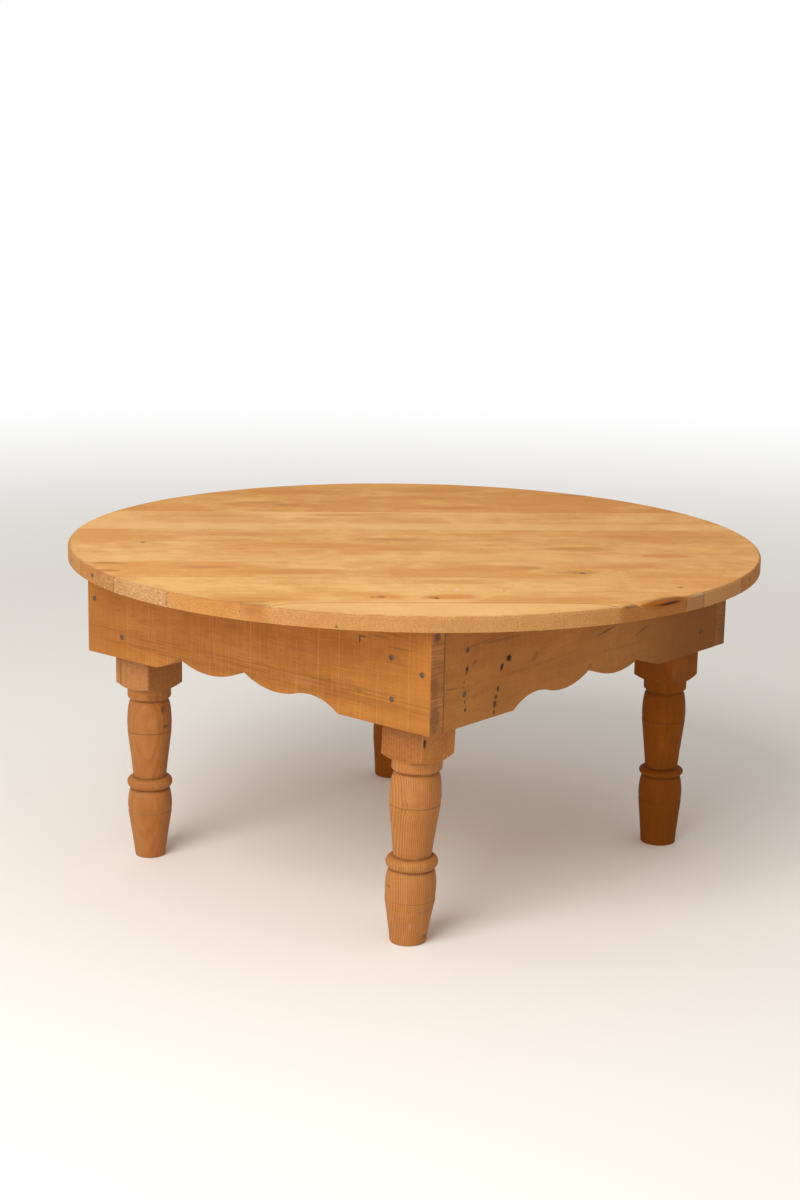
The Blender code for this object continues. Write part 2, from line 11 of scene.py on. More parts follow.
import bmesh
import bpy
import numpy as np
from mathutils import Matrix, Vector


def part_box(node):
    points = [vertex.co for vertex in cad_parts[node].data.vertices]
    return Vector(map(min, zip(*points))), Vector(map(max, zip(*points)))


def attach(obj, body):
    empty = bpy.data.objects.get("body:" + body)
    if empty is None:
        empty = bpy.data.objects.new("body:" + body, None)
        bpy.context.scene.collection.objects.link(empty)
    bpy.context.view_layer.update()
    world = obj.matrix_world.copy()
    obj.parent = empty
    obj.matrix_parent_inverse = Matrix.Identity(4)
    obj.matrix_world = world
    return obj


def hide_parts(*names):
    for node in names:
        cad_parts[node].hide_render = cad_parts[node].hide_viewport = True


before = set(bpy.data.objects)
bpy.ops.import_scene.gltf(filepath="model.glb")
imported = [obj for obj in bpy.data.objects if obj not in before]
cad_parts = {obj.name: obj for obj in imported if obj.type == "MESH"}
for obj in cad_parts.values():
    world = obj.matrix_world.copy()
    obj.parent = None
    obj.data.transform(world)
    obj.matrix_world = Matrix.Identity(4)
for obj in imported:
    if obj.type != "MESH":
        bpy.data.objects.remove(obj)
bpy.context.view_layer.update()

bl_info = {
    "name": "Round Tea Table",
    "version": (1, 0, 0),
    "blender": (4, 5, 0),
    "location": "3D View > Sidebar > Tea Table",
    "description": "Builds the looks of a low round tea table over its solids",
    "category": "Add Mesh",
}

MM = 0.001
BODY = "root"
HALF_ROOT = math.sqrt(0.5)
CORNERS = ("front_left", "front_right", "back_left", "back_right")
SIDES = ("front", "right", "back", "left")
TOP_BOARDS = 9
# Edges that bend more than this, in degrees, look sharp
SHARP = 35
# Each leg's own habits: how far its lower and upper lines stray, in mm, and its ring's width share
LEG_HABITS = {
    "front_left": (3.5, -1.5, 1.0),
    "front_right": (-3.0, 0.5, 1.0),
    "back_left": (0.0, 0.0, 1.0),
    "back_right": (2.0, 0.5, 0.7),
}


# Measures taken from the solids


def node_points(name):
    """Every corner of a solid, as rows of X, Y and Z."""
    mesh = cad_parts[name].data
    points = np.empty(len(mesh.vertices) * 3)
    mesh.vertices.foreach_get("co", points)
    return points.reshape(-1, 3)


def in_board_frame(points):
    """Turns places in the plan to lengths along the top's boards and across them, to the front."""
    along = (points[..., 0] + points[..., 1]) * HALF_ROOT
    across = (points[..., 0] - points[..., 1]) * HALF_ROOT
    return along, across


def from_board_frame(along, across, height):
    """The way back: rows of X, Y and Z for places along and across the boards."""
    x = (along + across) * HALF_ROOT
    y = (along - across) * HALF_ROOT
    return np.stack([x, y, height], -1)


def measure_top():
    """The half sizes of the round along and across its boards, its heights, and its strips."""
    strips = []
    reach = radius = 0
    for number in range(1, TOP_BOARDS + 1):
        points = node_points(f"top_board_{number}")
        along, across = in_board_frame(points)
        strips.append((across.min(), across.max()))
        reach = max(reach, along.max())
        radius = max(radius, abs(across).max())
    return reach, radius, points[:, 2].min(), points[:, 2].max(), strips


def measure_leg(corner):
    """Where a leg's block and foot are centred, its girth as a share of the settings' one, its
    foot's radius and its top's height."""
    settings = bpy.context.scene.tea_table_legs
    points = node_points(f"leg_{corner}")
    top = points[:, 2].max()
    block = points[points[:, 2] > top - MM]
    foot = points[points[:, 2] < MM / 2]
    belly = points[abs(points[:, 2] - settings.upper_belly) < MM / 2]
    centre = (foot.min(0) + foot.max(0)) / 2
    girth = np.ptp(belly[:, 1]) / 2 / settings.upper_belly_radius
    foot_radius = np.ptp(foot[:, 1]) / 2 + settings.foot_ease * girth
    return (block.min(0) + block.max(0)) / 2, centre, girth, foot_radius, top


def measure_nail(name):
    """A nail's tip, the way from it to its head, and its length. The tip is the corner farthest
    from the rest."""
    points = np.unique(node_points(name).round(6), axis=0)
    middle = points.mean(0)
    tip = points[np.argmax(np.linalg.norm(points - middle, axis=1))]
    outward = (middle - tip) / np.linalg.norm(middle - tip)
    return tip, outward, ((points - tip) @ outward).max()


# Settings that a user may change


def length(name, description, default):
    return bpy.props.FloatProperty(
        name=name, description=description, default=default, min=0, unit="LENGTH", precision=4
    )


def share(name, description, default):
    return bpy.props.FloatProperty(
        name=name, description=description, default=default, min=0, max=4, subtype="FACTOR"
    )


def colour(name, description, default):
    return bpy.props.FloatVectorProperty(
        name=name, description=description, default=default, min=0, max=1, subtype="COLOR", size=3
    )


class TopSettings(bpy.types.PropertyGroup):
    rim_round: length("Rim rounding", "Radius worn on the top's upper rim", 3.5 * MM)
    joint_round: length("Joint rounding", "Radius on the boards' long edges", 0.35 * MM)
    wear: share("Rim wear", "How unevenly the rim is worn", 0.3)
    chip: share("Chip", "How much more is gone where the rim is broken", 0.8)
    light: colour("Light wood", "The palest wood of the top", (0.90, 0.53, 0.19))
    dark: colour("Dark wood", "The wood of the cloudy patches", (0.66, 0.30, 0.070))


class FrameSettings(bpy.types.PropertyGroup):
    ease: length("Edge ease", "Radius on the boards' edges", 0.9 * MM)
    peak_rise: length("Peak rise", "Height of the scallop's middle peak", 21.8 * MM)
    lobe_reach: length("Lobe reach", "From the middle to each lobe", 50 * MM)
    lobe_rise: length("Lobe rise", "Height of each lobe's lowest part", 7.2 * MM)
    shoulder_reach: length("Shoulder reach", "From the middle to the ogee's shoulder", 106 * MM)
    shoulder_rise: length("Shoulder rise", "Height of the ogee's shoulder", 14.5 * MM)
    turn_reach: length("Turn reach", "From the middle to the ogee's turn", 78 * MM)
    turn_rise: length("Turn rise", "Height of the ogee's turn", 10 * MM)
    cusp_reach: length("Cusp reach", "From the middle to the cusp", 106 * MM)
    cusp_rise: length("Cusp rise", "Height of the cusp", 18 * MM)
    end_reach: length("End reach", "From the middle to the scallop's ends", 148 * MM)
    front_shift: length("Front shift", "How far the front scallop lies towards its cusp", 6.5 * MM)
    corner_bulge: length("Corner bulge", "How full the corner by the cusp is", 2.2 * MM)
    light: colour("Light wood", "The boards' early wood", (0.48, 0.188, 0.042))
    dark: colour("Dark wood", "The boards' late wood", (0.315, 0.108, 0.018))


class LegSettings(bpy.types.PropertyGroup):
    block: length("Block side", "Side of the square block", 59 * MM)
    arris: length("Arris", "Width of the chamfer on the block's corners", 1.6 * MM)
    foot_ease: length("Foot ease", "Rounding under the foot", 1.2 * MM)
    lower_line: length("Lower line height", "Height of the lower scribed line", 56 * MM)
    lower_line_radius: length("Lower line radius", "Radius there", 28.4 * MM)
    lower_belly: length("Lower belly height", "Height of the lower vase's belly", 65 * MM)
    lower_belly_radius: length("Lower belly radius", "Radius there", 28.8 * MM)
    lower_neck_radius: length("Lower neck radius", "Radius under the ring", 23.8 * MM)
    ring: length("Ring height", "Height of the ring's middle", 97 * MM)
    ring_half: length("Ring half width", "Half the ring's width", 7.2 * MM)
    ring_radius: length("Ring radius", "Radius of the ring", 29.4 * MM)
    waist_radius: length("Waist radius", "Radius over the ring", 21.4 * MM)
    upper_line: length("Upper line height", "Height of the upper scribed line", 166 * MM)
    upper_line_radius: length("Upper line radius", "Radius there", 28.6 * MM)
    upper_belly: length("Upper belly height", "Height of the upper vase's belly", 173 * MM)
    upper_belly_radius: length("Upper belly radius", "Radius there", 28.9 * MM)
    neck: length("Neck height", "Height of the upper vase's top", 204 * MM)
    neck_radius: length("Neck radius", "Radius there", 24 * MM)
    collar_bottom: length("Collar bottom", "Height of the collar's lower edge", 207 * MM)
    collar_top: length("Collar top", "Height where the collar meets the block", 219.5 * MM)
    collar_radius: length("Collar radius", "Radius of the collar", 28.2 * MM)
    collar_ease: length("Collar ease", "Rounding of the collar's lower edge", 2.5 * MM)
    shoulder_rise: length("Shoulder rise", "Rise of the cut under the block's corners", 6 * MM)
    hollow: length("Hollow", "How far the tapers are hollowed", 0.2 * MM)
    groove: length("Groove depth", "Depth of the scribed lines", 0.45 * MM)
    tremor: length("Tremor", "How far the turner's hand strayed", 0.16 * MM)
    light: colour("Light wood", "The legs' early wood", (0.50, 0.212, 0.061))
    dark: colour("Dark wood", "The legs' late wood", (0.32, 0.110, 0.022))
    brown_light: colour("Brown light wood", "Early wood of the brown leg", (0.31, 0.090, 0.008))
    brown_dark: colour("Brown dark wood", "Late wood of the brown leg", (0.17, 0.045, 0.003))


class NailSettings(bpy.types.PropertyGroup):
    head: length("Head radius", "Radius of a nail's head", 2.4 * MM)
    shank: length("Shank radius", "Radius of a nail's shank", 1.4 * MM)
    head_depth: length("Head depth", "Depth of a nail's head", 1.8 * MM)
    neck_depth: length("Neck depth", "Length of the cone under the head", 1 * MM)
    point: length("Point length", "Length of a nail's point", 5 * MM)
    dome: length("Dome", "How far a head's face is domed", 0.15 * MM)
    clearance: length("Clearance", "Room round a nail in its hole", 0.3 * MM)
    steel: colour("Steel", "Bare worn steel", (0.12, 0.095, 0.078))
    rust: colour("Rust", "Rust on the steel", (0.055, 0.028, 0.016))


class StageSettings(bpy.types.PropertyGroup):
    floor_size: length("Floor size", "Half the side of the floor", 14)
    floor: colour("Floor", "Colour of the floor near the table", (0.88, 0.85, 0.80))
    daylight: share("Daylight", "Strength of the light from all round", 0.6)
    key: bpy.props.FloatProperty(
        name="Key light", description="Power of the large lamp", default=88, min=0, unit="POWER"
    )
    fill: bpy.props.FloatProperty(
        name="Fill light", description="Power of the small lamp", default=12, min=0, unit="POWER"
    )


# Meshes


def uneven(turns, seed, waves=9):
    """A smooth closed wobble round a loop, between about -1 and 1: a sum of sines, each with its
    own start, weaker as they quicken. Turns are shares of one round."""
    rng = np.random.default_rng(seed)
    starts = rng.uniform(0, 2 * np.pi, waves)
    counts = np.arange(1, waves + 1)
    return sum(
        np.sin(2 * np.pi * n * turns + start) / math.sqrt(n) for n, start in zip(counts, starts)
    ) / math.sqrt(waves)


def solid_from_rings(name, rings, sharp=SHARP):
    """A closed solid from loops of points, each joined to the next, the first and last filled."""
    count, size = rings.shape[:2]
    index = np.arange(count * size).reshape(count, size)
    here, there = index[:-1], index[1:]
    quads = np.stack([here, np.roll(here, -1, 1), np.roll(there, -1, 1), there], -1)
    faces = quads.reshape(-1, 4).tolist() + [index[0, ::-1].tolist(), index[-1].tolist()]
    mesh = bpy.data.meshes.new(name)
    mesh.from_pydata(rings.reshape(-1, 3), [], faces)
    shape = bmesh.new()
    shape.from_mesh(mesh)
    bmesh.ops.remove_doubles(shape, verts=shape.verts, dist=0.00001)
    if shape.calc_volume(signed=True) < 0:
        bmesh.ops.reverse_faces(shape, faces=shape.faces)
    shape.to_mesh(mesh)
    shape.free()
    mesh.polygons.foreach_set("use_smooth", [True] * len(mesh.polygons))
    mesh.set_sharp_from_angle(angle=math.radians(sharp))
    return mesh


def add_piece(name, mesh, material, stands_for):
    """Puts a mesh in the scene as a piece that rides on the table and stands for a solid."""
    piece = bpy.data.objects.new(name, mesh)
    bpy.context.scene.collection.objects.link(piece)
    mesh.materials.clear()
    mesh.materials.append(material)
    normals = piece.modifiers.new("flat faces stay flat", "WEIGHTED_NORMAL")
    normals.keep_sharp = True
    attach(piece, BODY)
    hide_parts(stands_for)


def arc_through(start, middle, end, steps):
    """Points on the circle through three points. The centre is where the lines that halve the
    two chords meet; the points are evenly spaced angles round it, with the start left out."""
    (ax, ay), (bx, by), (cx, cy) = start, middle, end
    d = 2 * (ax * (by - cy) + bx * (cy - ay) + cx * (ay - by))
    a2, b2, c2 = ax * ax + ay * ay, bx * bx + by * by, cx * cx + cy * cy
    ox = (a2 * (by - cy) + b2 * (cy - ay) + c2 * (ay - by)) / d
    oy = (a2 * (cx - bx) + b2 * (ax - cx) + c2 * (bx - ax)) / d
    first = math.atan2(ay - oy, ax - ox)
    to_middle = (math.atan2(by - oy, bx - ox) - first) % (2 * math.pi)
    to_end = (math.atan2(cy - oy, cx - ox) - first) % (2 * math.pi)
    if to_middle > to_end:
        to_end -= 2 * math.pi
    angles = first + to_end * np.arange(1, steps + 1) / steps
    radius = math.hypot(ax - ox, ay - oy)
    return np.stack([ox + radius * np.cos(angles), oy + radius * np.sin(angles)], -1)


def line_to(start, end, steps):
    """Evenly spaced points on a straight line, with its start left out."""
    shares = np.arange(1, steps + 1)[:, None] / steps
    return np.asarray(start) + shares * (np.asarray(end) - np.asarray(start))


def quarter(steps):
    """A quarter circle's inset and drop at evenly spaced angles, as shares of its radius."""
    angles = np.linspace(0, np.pi / 2, steps)
    return 1 - np.cos(angles), 1 - np.sin(angles)


# Nails and their holes


def nail_names():
    return sorted(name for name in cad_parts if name.startswith("nail_"))


def turned_rings(profile, base, axis, steps):
    """Sweeps (radius, distance) pairs round an axis: each ring is the base, plus the axis times
    the distance, plus the radius times the cosine and sine of evenly spaced angles along two
    directions square to the axis."""
    axis = np.asarray(axis)
    side = np.cross(axis, (0.3, 0.5, 0.8))
    side /= np.linalg.norm(side)
    other = np.cross(axis, side)
    angles = np.linspace(0, 2 * np.pi, steps, endpoint=False)
    radii, distances = np.asarray(profile).T
    spokes = np.cos(angles)[:, None] * side + np.sin(angles)[:, None] * other
    return base + distances[:, None, None] * axis + radii[:, None, None] * spokes


def nail_profile(settings, full, grow):
    """A nail's outline from its tip to its head, or its hole's where grow is the clearance."""
    head, shank = settings.head + grow, settings.shank + grow
    head_bottom = full - settings.head_depth - grow
    neck_bottom = head_bottom - settings.neck_depth
    tip = (0.02 * MM, -grow)
    body = [tip, (shank, settings.point), (shank, neck_bottom), (head, head_bottom)]
    if grow:
        return body + [(head, full + 3 * settings.head_depth)]
    dome = settings.dome
    return body + [(head, full - dome), (0.8 * head, full - dome / 3), (0.02 * MM, full)]


def cut_nail_holes(piece_mesh, solid, steps):
    """Cuts, out of a mesh, a hole for each nail that comes as near as its solid's box."""
    settings = bpy.context.scene.tea_table_nails
    low, high = (np.array(corner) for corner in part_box(solid))
    cutter = bpy.data.meshes.new("holes")
    holes = bmesh.new()
    for name in nail_names():
        tip, outward, full = measure_nail(name)
        ends = np.stack([tip, tip + outward * full])
        if (ends.max(0) < low).any() or (ends.min(0) > high).any():
            continue
        profile = nail_profile(settings, full, settings.clearance)
        hole = solid_from_rings("hole", turned_rings(profile, tip, outward, steps))
        holes.from_mesh(hole)
        bpy.data.meshes.remove(hole)
    holes.to_mesh(cutter)
    holes.free()
    if not cutter.polygons:
        return piece_mesh
    piece = bpy.data.objects.new("board", piece_mesh)
    tool = bpy.data.objects.new("holes", cutter)
    for obj in (piece, tool):
        bpy.context.scene.collection.objects.link(obj)
    modifier = piece.modifiers.new("holes", "BOOLEAN")
    modifier.object = tool
    modifier.solver = "EXACT"
    bpy.context.view_layer.update()
    evaluated = piece.evaluated_get(bpy.context.evaluated_depsgraph_get())
    drilled = bpy.data.meshes.new_from_object(evaluated)
    for obj in (piece, tool):
        bpy.data.objects.remove(obj)
    drilled.set_sharp_from_angle(angle=math.radians(SHARP))
    return drilled


def add_drilled(kind, solid, rings, material, sharp=SHARP, hole_steps=24):
    """Puts a piece in the scene from its loops, with the holes of the nails that pass it."""
    mesh = cut_nail_holes(solid_from_rings(solid, rings, sharp), solid, hole_steps)
    add_piece(f"{kind}_{solid}", mesh, material, solid)


# Nodes for the finishes


class Pattern:
    """A number, a place or a colour at each point of a surface, as one output of a node. Sums,
    products and the like of patterns make the nodes that work them out."""

    def __init__(self, socket):
        self.socket = socket
        self.tree = socket.id_data

    def node(self, kind, *values, **settings):
        """A new node beside the one that this comes from."""
        return new_node(self.tree, kind, *values, **settings)

    def math(self, operation, *values):
        return Pattern(self.node("Math", self, *values, operation=operation).outputs[0])

    def __add__(self, other):
        return self.math("ADD", other)

    def __sub__(self, other):
        return self.math("SUBTRACT", other)

    def __mul__(self, other):
        return self.math("MULTIPLY", other)

    def __truediv__(self, other):
        return self.math("DIVIDE", other)

    def __pow__(self, other):
        return self.math("POWER", other)

    def __abs__(self):
        return self.math("ABSOLUTE")

    def tinted(self, colour):
        """This colour, times another."""
        node = self.node("VectorMath", self, colour, operation="MULTIPLY")
        return Pattern(node.outputs["Vector"])

    def length(self):
        return Pattern(self.node("VectorMath", self, operation="LENGTH").outputs["Value"])

    def parts(self):
        """The X, Y and Z of this place."""
        return [Pattern(socket) for socket in self.node("SeparateXYZ", self).outputs]

    def joined(self, y, z):
        """A place whose X is this number."""
        return Pattern(self.node("CombineXYZ", self, y, z).outputs[0])

    def mapped(self, location=(0, 0, 0), turn=(0, 0, 0), scale=(1, 1, 1), kind="POINT"):
        """This place, scaled, turned and moved, or with the kind TEXTURE the way back from that."""
        node = self.node("Mapping", self, location, turn, scale, vector_type=kind)
        return Pattern(node.outputs["Vector"])

    def noise(self, scale, shift=0.0, detail=3, rough=0.6, twist=0.0):
        """Noise from 0 to 1 on stretched coordinates; the scales are waves in each metre."""
        scale = scale if isinstance(scale, tuple) else (scale,) * 3
        node = self.node("TexNoise", self.mapped((shift, shift * 0.7, shift * 0.4), scale=scale))
        values = {"Scale": 1, "Detail": detail, "Roughness": rough, "Distortion": twist}
        for name, value in values.items():
            node.inputs[name].default_value = value
        return Pattern(node.outputs["Fac"])

    def spread(self, low, high, to_low=0.0, to_high=1.0):
        """Maps a range smoothly to another, and holds it at the ends."""
        ends = (low, high, to_low, to_high)
        return Pattern(self.node("MapRange", self, *ends, interpolation_type="SMOOTHSTEP").outputs[0])

    def spot(self, centre, size, turn=(0, 0, 0), edge=0.6, ragged=0.45, shift=0.0):
        """1 inside an oval body of these half sizes and 0 outside, with a soft and ragged edge."""
        inside = self.mapped(centre, turn, size, "TEXTURE")
        distance = inside.length()
        if ragged:
            distance += inside.noise(1.6, shift + 3.7) * (2 * ragged) - ragged
        return distance.spread(1, 1 - edge)

    def bump(self, distance, normal=None):
        """The surface's direction, tilted as this height times the distance would tilt it."""
        node = self.node("Bump")
        node.inputs["Distance"].default_value = distance
        feed(node.inputs["Height"], self)
        if normal:
            feed(node.inputs["Normal"], normal)
        return Pattern(node.outputs["Normal"])


def feed(socket, value):
    """Links a pattern to a node's input, or sets the input to a plain number, place or colour."""
    if isinstance(value, Pattern):
        value.tree.links.new(value.socket, socket)
    elif socket.type == "RGBA":
        socket.default_value = (*value[:3], 1)
    else:
        socket.default_value = value


def new_node(tree, kind, *values, **settings):
    """Adds a shader node with these settings, and feeds the values to its first inputs."""
    node = tree.nodes.new(f"ShaderNode{kind}")
    for name, value in settings.items():
        setattr(node, name, value)
    for socket, value in zip(node.inputs, values):
        feed(socket, value)
    return node


def mix(amount, under, over):
    """A colour that goes from one to another as the amount goes from 0 to 1."""
    values = {"Factor_Float": amount, "A_Color": under, "B_Color": over}
    pattern = next(value for value in values.values() if isinstance(value, Pattern))
    node = pattern.node("Mix", data_type="RGBA")
    for socket in node.inputs:
        if socket.identifier in values:
            feed(socket, values[socket.identifier])
    return Pattern(next(socket for socket in node.outputs if socket.identifier == "Result_Color"))


def shaded(tint, share):
    return tuple(c * share for c in tint)


class Finish:
    """A material, with the places and the directions of its surface as patterns."""

    def __init__(self, name, gloss=0.5):
        self.material = bpy.data.materials.new(name)
        self.material.use_nodes = True
        tree = self.material.node_tree
        self.shader = tree.nodes["Principled BSDF"]
        self.shader.inputs["Specular IOR Level"].default_value = gloss
        self.place = Pattern(new_node(tree, "TexCoord").outputs["Object"])
        self.normal = Pattern(new_node(tree, "NewGeometry").outputs["Normal"])

    def done(self, tint, rough, normal):
        for name, value in (("Base Color", tint), ("Roughness", rough), ("Normal", normal)):
            feed(self.shader.inputs[name], value)
        return self.material


# How one board or leg was cut: where its pith lies; how far apart its rings are and how far they
# wander, in mm, and how they tilt; how strongly its rings, fibres and clouds show; how pale it is;
# how strongly its pores show; its fibres' length and its clouds' width as shares
Timber = namedtuple(
    "Timber", "seed pith spacing wave tilt rings fibres clouds tone pores reach width",
    defaults=(0.25, 1.0, 1.0),
)


def draw_timber(grain, timber, light, dark, knots=()):
    """The pattern of a sawn piece, on coordinates whose X runs along the grain. The rings are the
    distance from the pith line, bent by slow noise and split into equal steps; each step darkens
    slowly and ends at once. Returns the colour, and the height for the bump."""
    seed, wave = timber.seed, timber.wave * MM
    along, across, depth = grain.parts()
    across += along * timber.tilt
    across += grain.noise((2.2, 9, 9), seed, rough=0.5) * (2 * wave) - (timber.pith[0] + wave)
    depth += grain.noise((3.1, 12, 12), seed + 11, rough=0.5) * (2 * wave) - (timber.pith[1] + wave)
    radius = (across * across + depth * depth) ** 0.5
    for centre, size, push in knots:
        radius += grain.spot(centre, size, edge=1, ragged=0) * push
    count = radius / (timber.spacing * MM) + grain.noise((8, 60, 60), seed + 5, 2) * 0.7
    step = count.math("FRACT")
    late = step.spread(0.25, 0.9) * step.spread(1, 0.93)
    late *= grain.noise((3, 40, 40), seed + 23, 2).spread(0.25, 0.7, 0.35, 1)

    # Clouds of three sizes, the largest first
    wide = timber.width
    clouds = grain.noise((6, 20 / wide, 20 / wide), seed + 31, 4, twist=0.6) * 0.52
    clouds += grain.noise((17, 44 / wide, 44 / wide), seed + 47, twist=0.4) * 0.28
    clouds += grain.noise((48, 110 / wide, 110 / wide), seed + 97, twist=0.3) * 0.20
    darkness = clouds.spread(0.35, 0.66) * timber.clouds + (0.32 - 0.5 * timber.tone)
    darkness += late * timber.rings

    streaks = grain.noise((9 / timber.reach, 260, 260), seed + 3)
    threads = grain.noise((45 / timber.reach, 1300, 1300), seed + 7, 2)
    fibre = threads * 0.45 + streaks * 0.55
    darkness += fibre * (2 * timber.fibres) - timber.fibres
    tint = mix(darkness.spread(-0.15, 1.15), light, dark)

    pore = grain.noise((110, 1500, 1500), seed + 13, 1, 0.5).spread(0.66, 0.76) * timber.pores
    tint = mix(pore, tint, shaded(dark, 0.45))
    # Fine mottling, a few millimetres across
    mottle = grain.noise((260, 130, 260), seed + 83, rough=0.65)
    tint = mix(mottle.spread(0.5, 0.72, 0, 0.35), tint, dark)
    return tint, late * 0.35 + fibre - pore


def stain(tint, place, marks, shift):
    """Lays marks over a colour. Each is its centre and half sizes in mm, its colour, its strength,
    and its turns about X, Y and Z where it isn't level."""
    for number, (centre, size, mark_tint, strength, *turn) in enumerate(marks):
        centre, size = ([value * MM for value in values] for values in (centre, size))
        mask = place.spot(centre, size, *turn, shift=shift + 5.3 * number)
        tint = mix(mask * strength, tint, mark_tint)
    return tint


# Colours of marks on the wood
INK = (0.020, 0.012, 0.007)
UMBER = (0.13, 0.050, 0.014)
RESIN = (0.34, 0.10, 0.014)
AMBER = (0.60, 0.235, 0.042)
CHALK = (0.72, 0.60, 0.46)
CREAM = (0.86, 0.50, 0.19)

# The top's boards from the back one to the front one: each one's own timber
TOP_TIMBERS = tuple(
    Timber(
        seed, pith, spacing, wave=9, tilt=tilt, rings=0.08, fibres=0.15, clouds=clouds, tone=tone,
        pores=0.2, reach=0.3, width=2.0,
    )
    for seed, pith, spacing, tilt, clouds, tone in (
        (1.3, (0.05, -0.03), 5.0, 0.03, 0.85, -0.34), (7.1, (-0.07, -0.05), 4.6, -0.02, 0.90, -0.20),
        (13.9, (0.09, -0.02), 4.2, 0.01, 0.70, 0.06), (21.7, (-0.02, -0.06), 5.2, 0.03, 0.90, -0.04),
        (29.3, (0.03, -0.09), 4.8, -0.03, 0.85, 0.02), (37.9, (-0.06, -0.03), 4.4, 0.02, 0.95, -0.04),
        (43.1, (0.05, -0.08), 4.6, 0.01, 0.70, 0.14), (53.7, (-0.08, -0.04), 3.6, -0.02, 0.75, 0.06),
        (61.9, (0.09, -0.05), 4.0, 0.01, 0.60, 0.04),
    )
)

# Marks on the top, by board: (along, across, half length, half width, colour, strength), in mm
TOP_MARKS = {
    1: ((-150, -345, 80, 20, AMBER, 0.5), (60, -360, 90, 18, AMBER, 0.5),
        (190, -350, 60, 12, AMBER, 0.4)),
    2: ((-180, -242, 90, 26, AMBER, 0.6), (-183, -262, 40, 14, RESIN, 0.3),
        (-156, -242, 22, 8, UMBER, 0.2), (62, -223, 90, 26, AMBER, 0.7),
        (165, -252, 60, 14, AMBER, 0.5), (20, -300, 110, 22, AMBER, 0.5)),
    3: ((-260, -160, 80, 16, AMBER, 0.4), (210, -150, 80, 14, AMBER, 0.3),
        (-83, -168, 60, 14, AMBER, 0.6)),
    4: ((-31, 0, 70, 16, AMBER, 0.6), (-31, 0, 40, 8, UMBER, 0.12), (-200, -30, 110, 20, AMBER, 0.5),
        (110, -28, 110, 18, AMBER, 0.4), (-290, -46, 46, 9, UMBER, 0.12),
        (260, -20, 70, 14, AMBER, 0.4)),
    5: ((-339, 21, 12, 4, UMBER, 0.6), (-140, 40, 100, 22, AMBER, 0.6), (195, 60, 60, 22, AMBER, 0.7),
        (191, 58, 26, 12, UMBER, 0.14), (296, 99, 46, 18, AMBER, 0.6), (-20, 62, 60, 16, AMBER, 0.45),
        (-250, 66, 60, 14, AMBER, 0.4)),
    6: ((-375, 150, 34, 6, RESIN, 0.55), (-255, 172, 44, 8, RESIN, 0.3),
        (-374, 192, 26, 10, RESIN, 0.45), (-171, 197, 100, 22, AMBER, 0.75),
        (115, 174, 30, 15, RESIN, 0.42), (70, 178, 80, 24, AMBER, 0.6), (179, 202, 6, 4, INK, 0.75),
        (176, 200, 30, 14, UMBER, 0.16), (215, 165, 80, 20, AMBER, 0.45),
        (-60, 200, 60, 14, AMBER, 0.45)),
    7: ((22, 292, 2.5, 5, CHALK, 0.75), (-15, 304, 9, 5, CHALK, 0.3), (20, 252, 80, 16, AMBER, 0.45),
        (-150, 262, 70, 12, AMBER, 0.3), (279, 279, 5, 6, (0.30, 0.08, 0.02), 0.6)),
    8: ((-65, 329, 7, 6.5, INK, 0.9), (-214, 356, 32, 9, RESIN, 0.5), (-172, 342, 54, 11, AMBER, 0.5),
        (-60, 330, 34, 14, AMBER, 0.6), (-7, 331, 9.5, 7, INK, 0.95), (10, 328, 44, 16, AMBER, 0.8),
        (150, 340, 70, 14, AMBER, 0.4), (-215, 345, 60, 18, AMBER, 0.5)),
    9: ((-210, 371, 27, 13, RESIN, 0.6), (-100, 400, 90, 10, AMBER, 0.2)),
}

# The end wood on the rim, and that of the boards whose ends make the rim beside the tongue
END_WOOD = (0.36, 0.160, 0.049)
RIM_TINTS = {6: (0.32, 0.120, 0.030), 7: (0.40, 0.205, 0.085), 8: (0.39, 0.158, 0.040)}
# Bands of pale sapwood, by board: where one starts across the boards, in mm, and its strength
SAPWOOD = {3: (-110, 0.45), 5: (96, 0.3)}
# The boards that share the pale tongue at the front
TONGUE_BOARDS = (8, 9)
# How far from the middle line, in mm, the other joints lie at most
FARTHEST_JOINT = 350
# The boards whose ends on the rim hold scraps of old paint
PAINTED_BOARDS = (6, 7, 8)
# The broken edge at the front: each mark's centre as (along, back, height), its half sizes, its
# colour, its strength and its turns
BREAK_MARKS = (
    ((248, -346, 404), (46, 16, 9), (0.31, 0.092, 0.008), 1.0, (0, 0, 0.60)),
    ((264, -338, 404), (24, 8, 4), UMBER, 0.7, (0, 0, 0.62)),
    ((252, -344, 401), (26, 4, 2.0), INK, 0.85, (0, 0, 0.63)),
    ((205, -372, 404), (14, 5, 2.5), UMBER, 0.6, (0, 0, 0.5)),
    ((301, -302, 404), (38, 3.5, 2.6), (0.62, 0.42, 0.27), 0.55, (0, 0, 0.78)),
    ((-205, -375, 397), (18, 14, 14), RESIN, 0.32),
    ((276, -326, 396), (1.6, 8, 9), UMBER, 0.5),
)
# A dark dot on the rim of a board: its centre as above, and its half sizes
RIM_DOTS = {
    6: ((378, -198, 397), (3.4, 3.4, 3.4)), 7: ((-284, -318, 398), (4, 4, 3)),
    8: ((-220, -366, 397), (2.6, 2.6, 2.6)), 9: ((-119, -410, 390), (2.8, 2.8, 2.8)),
}


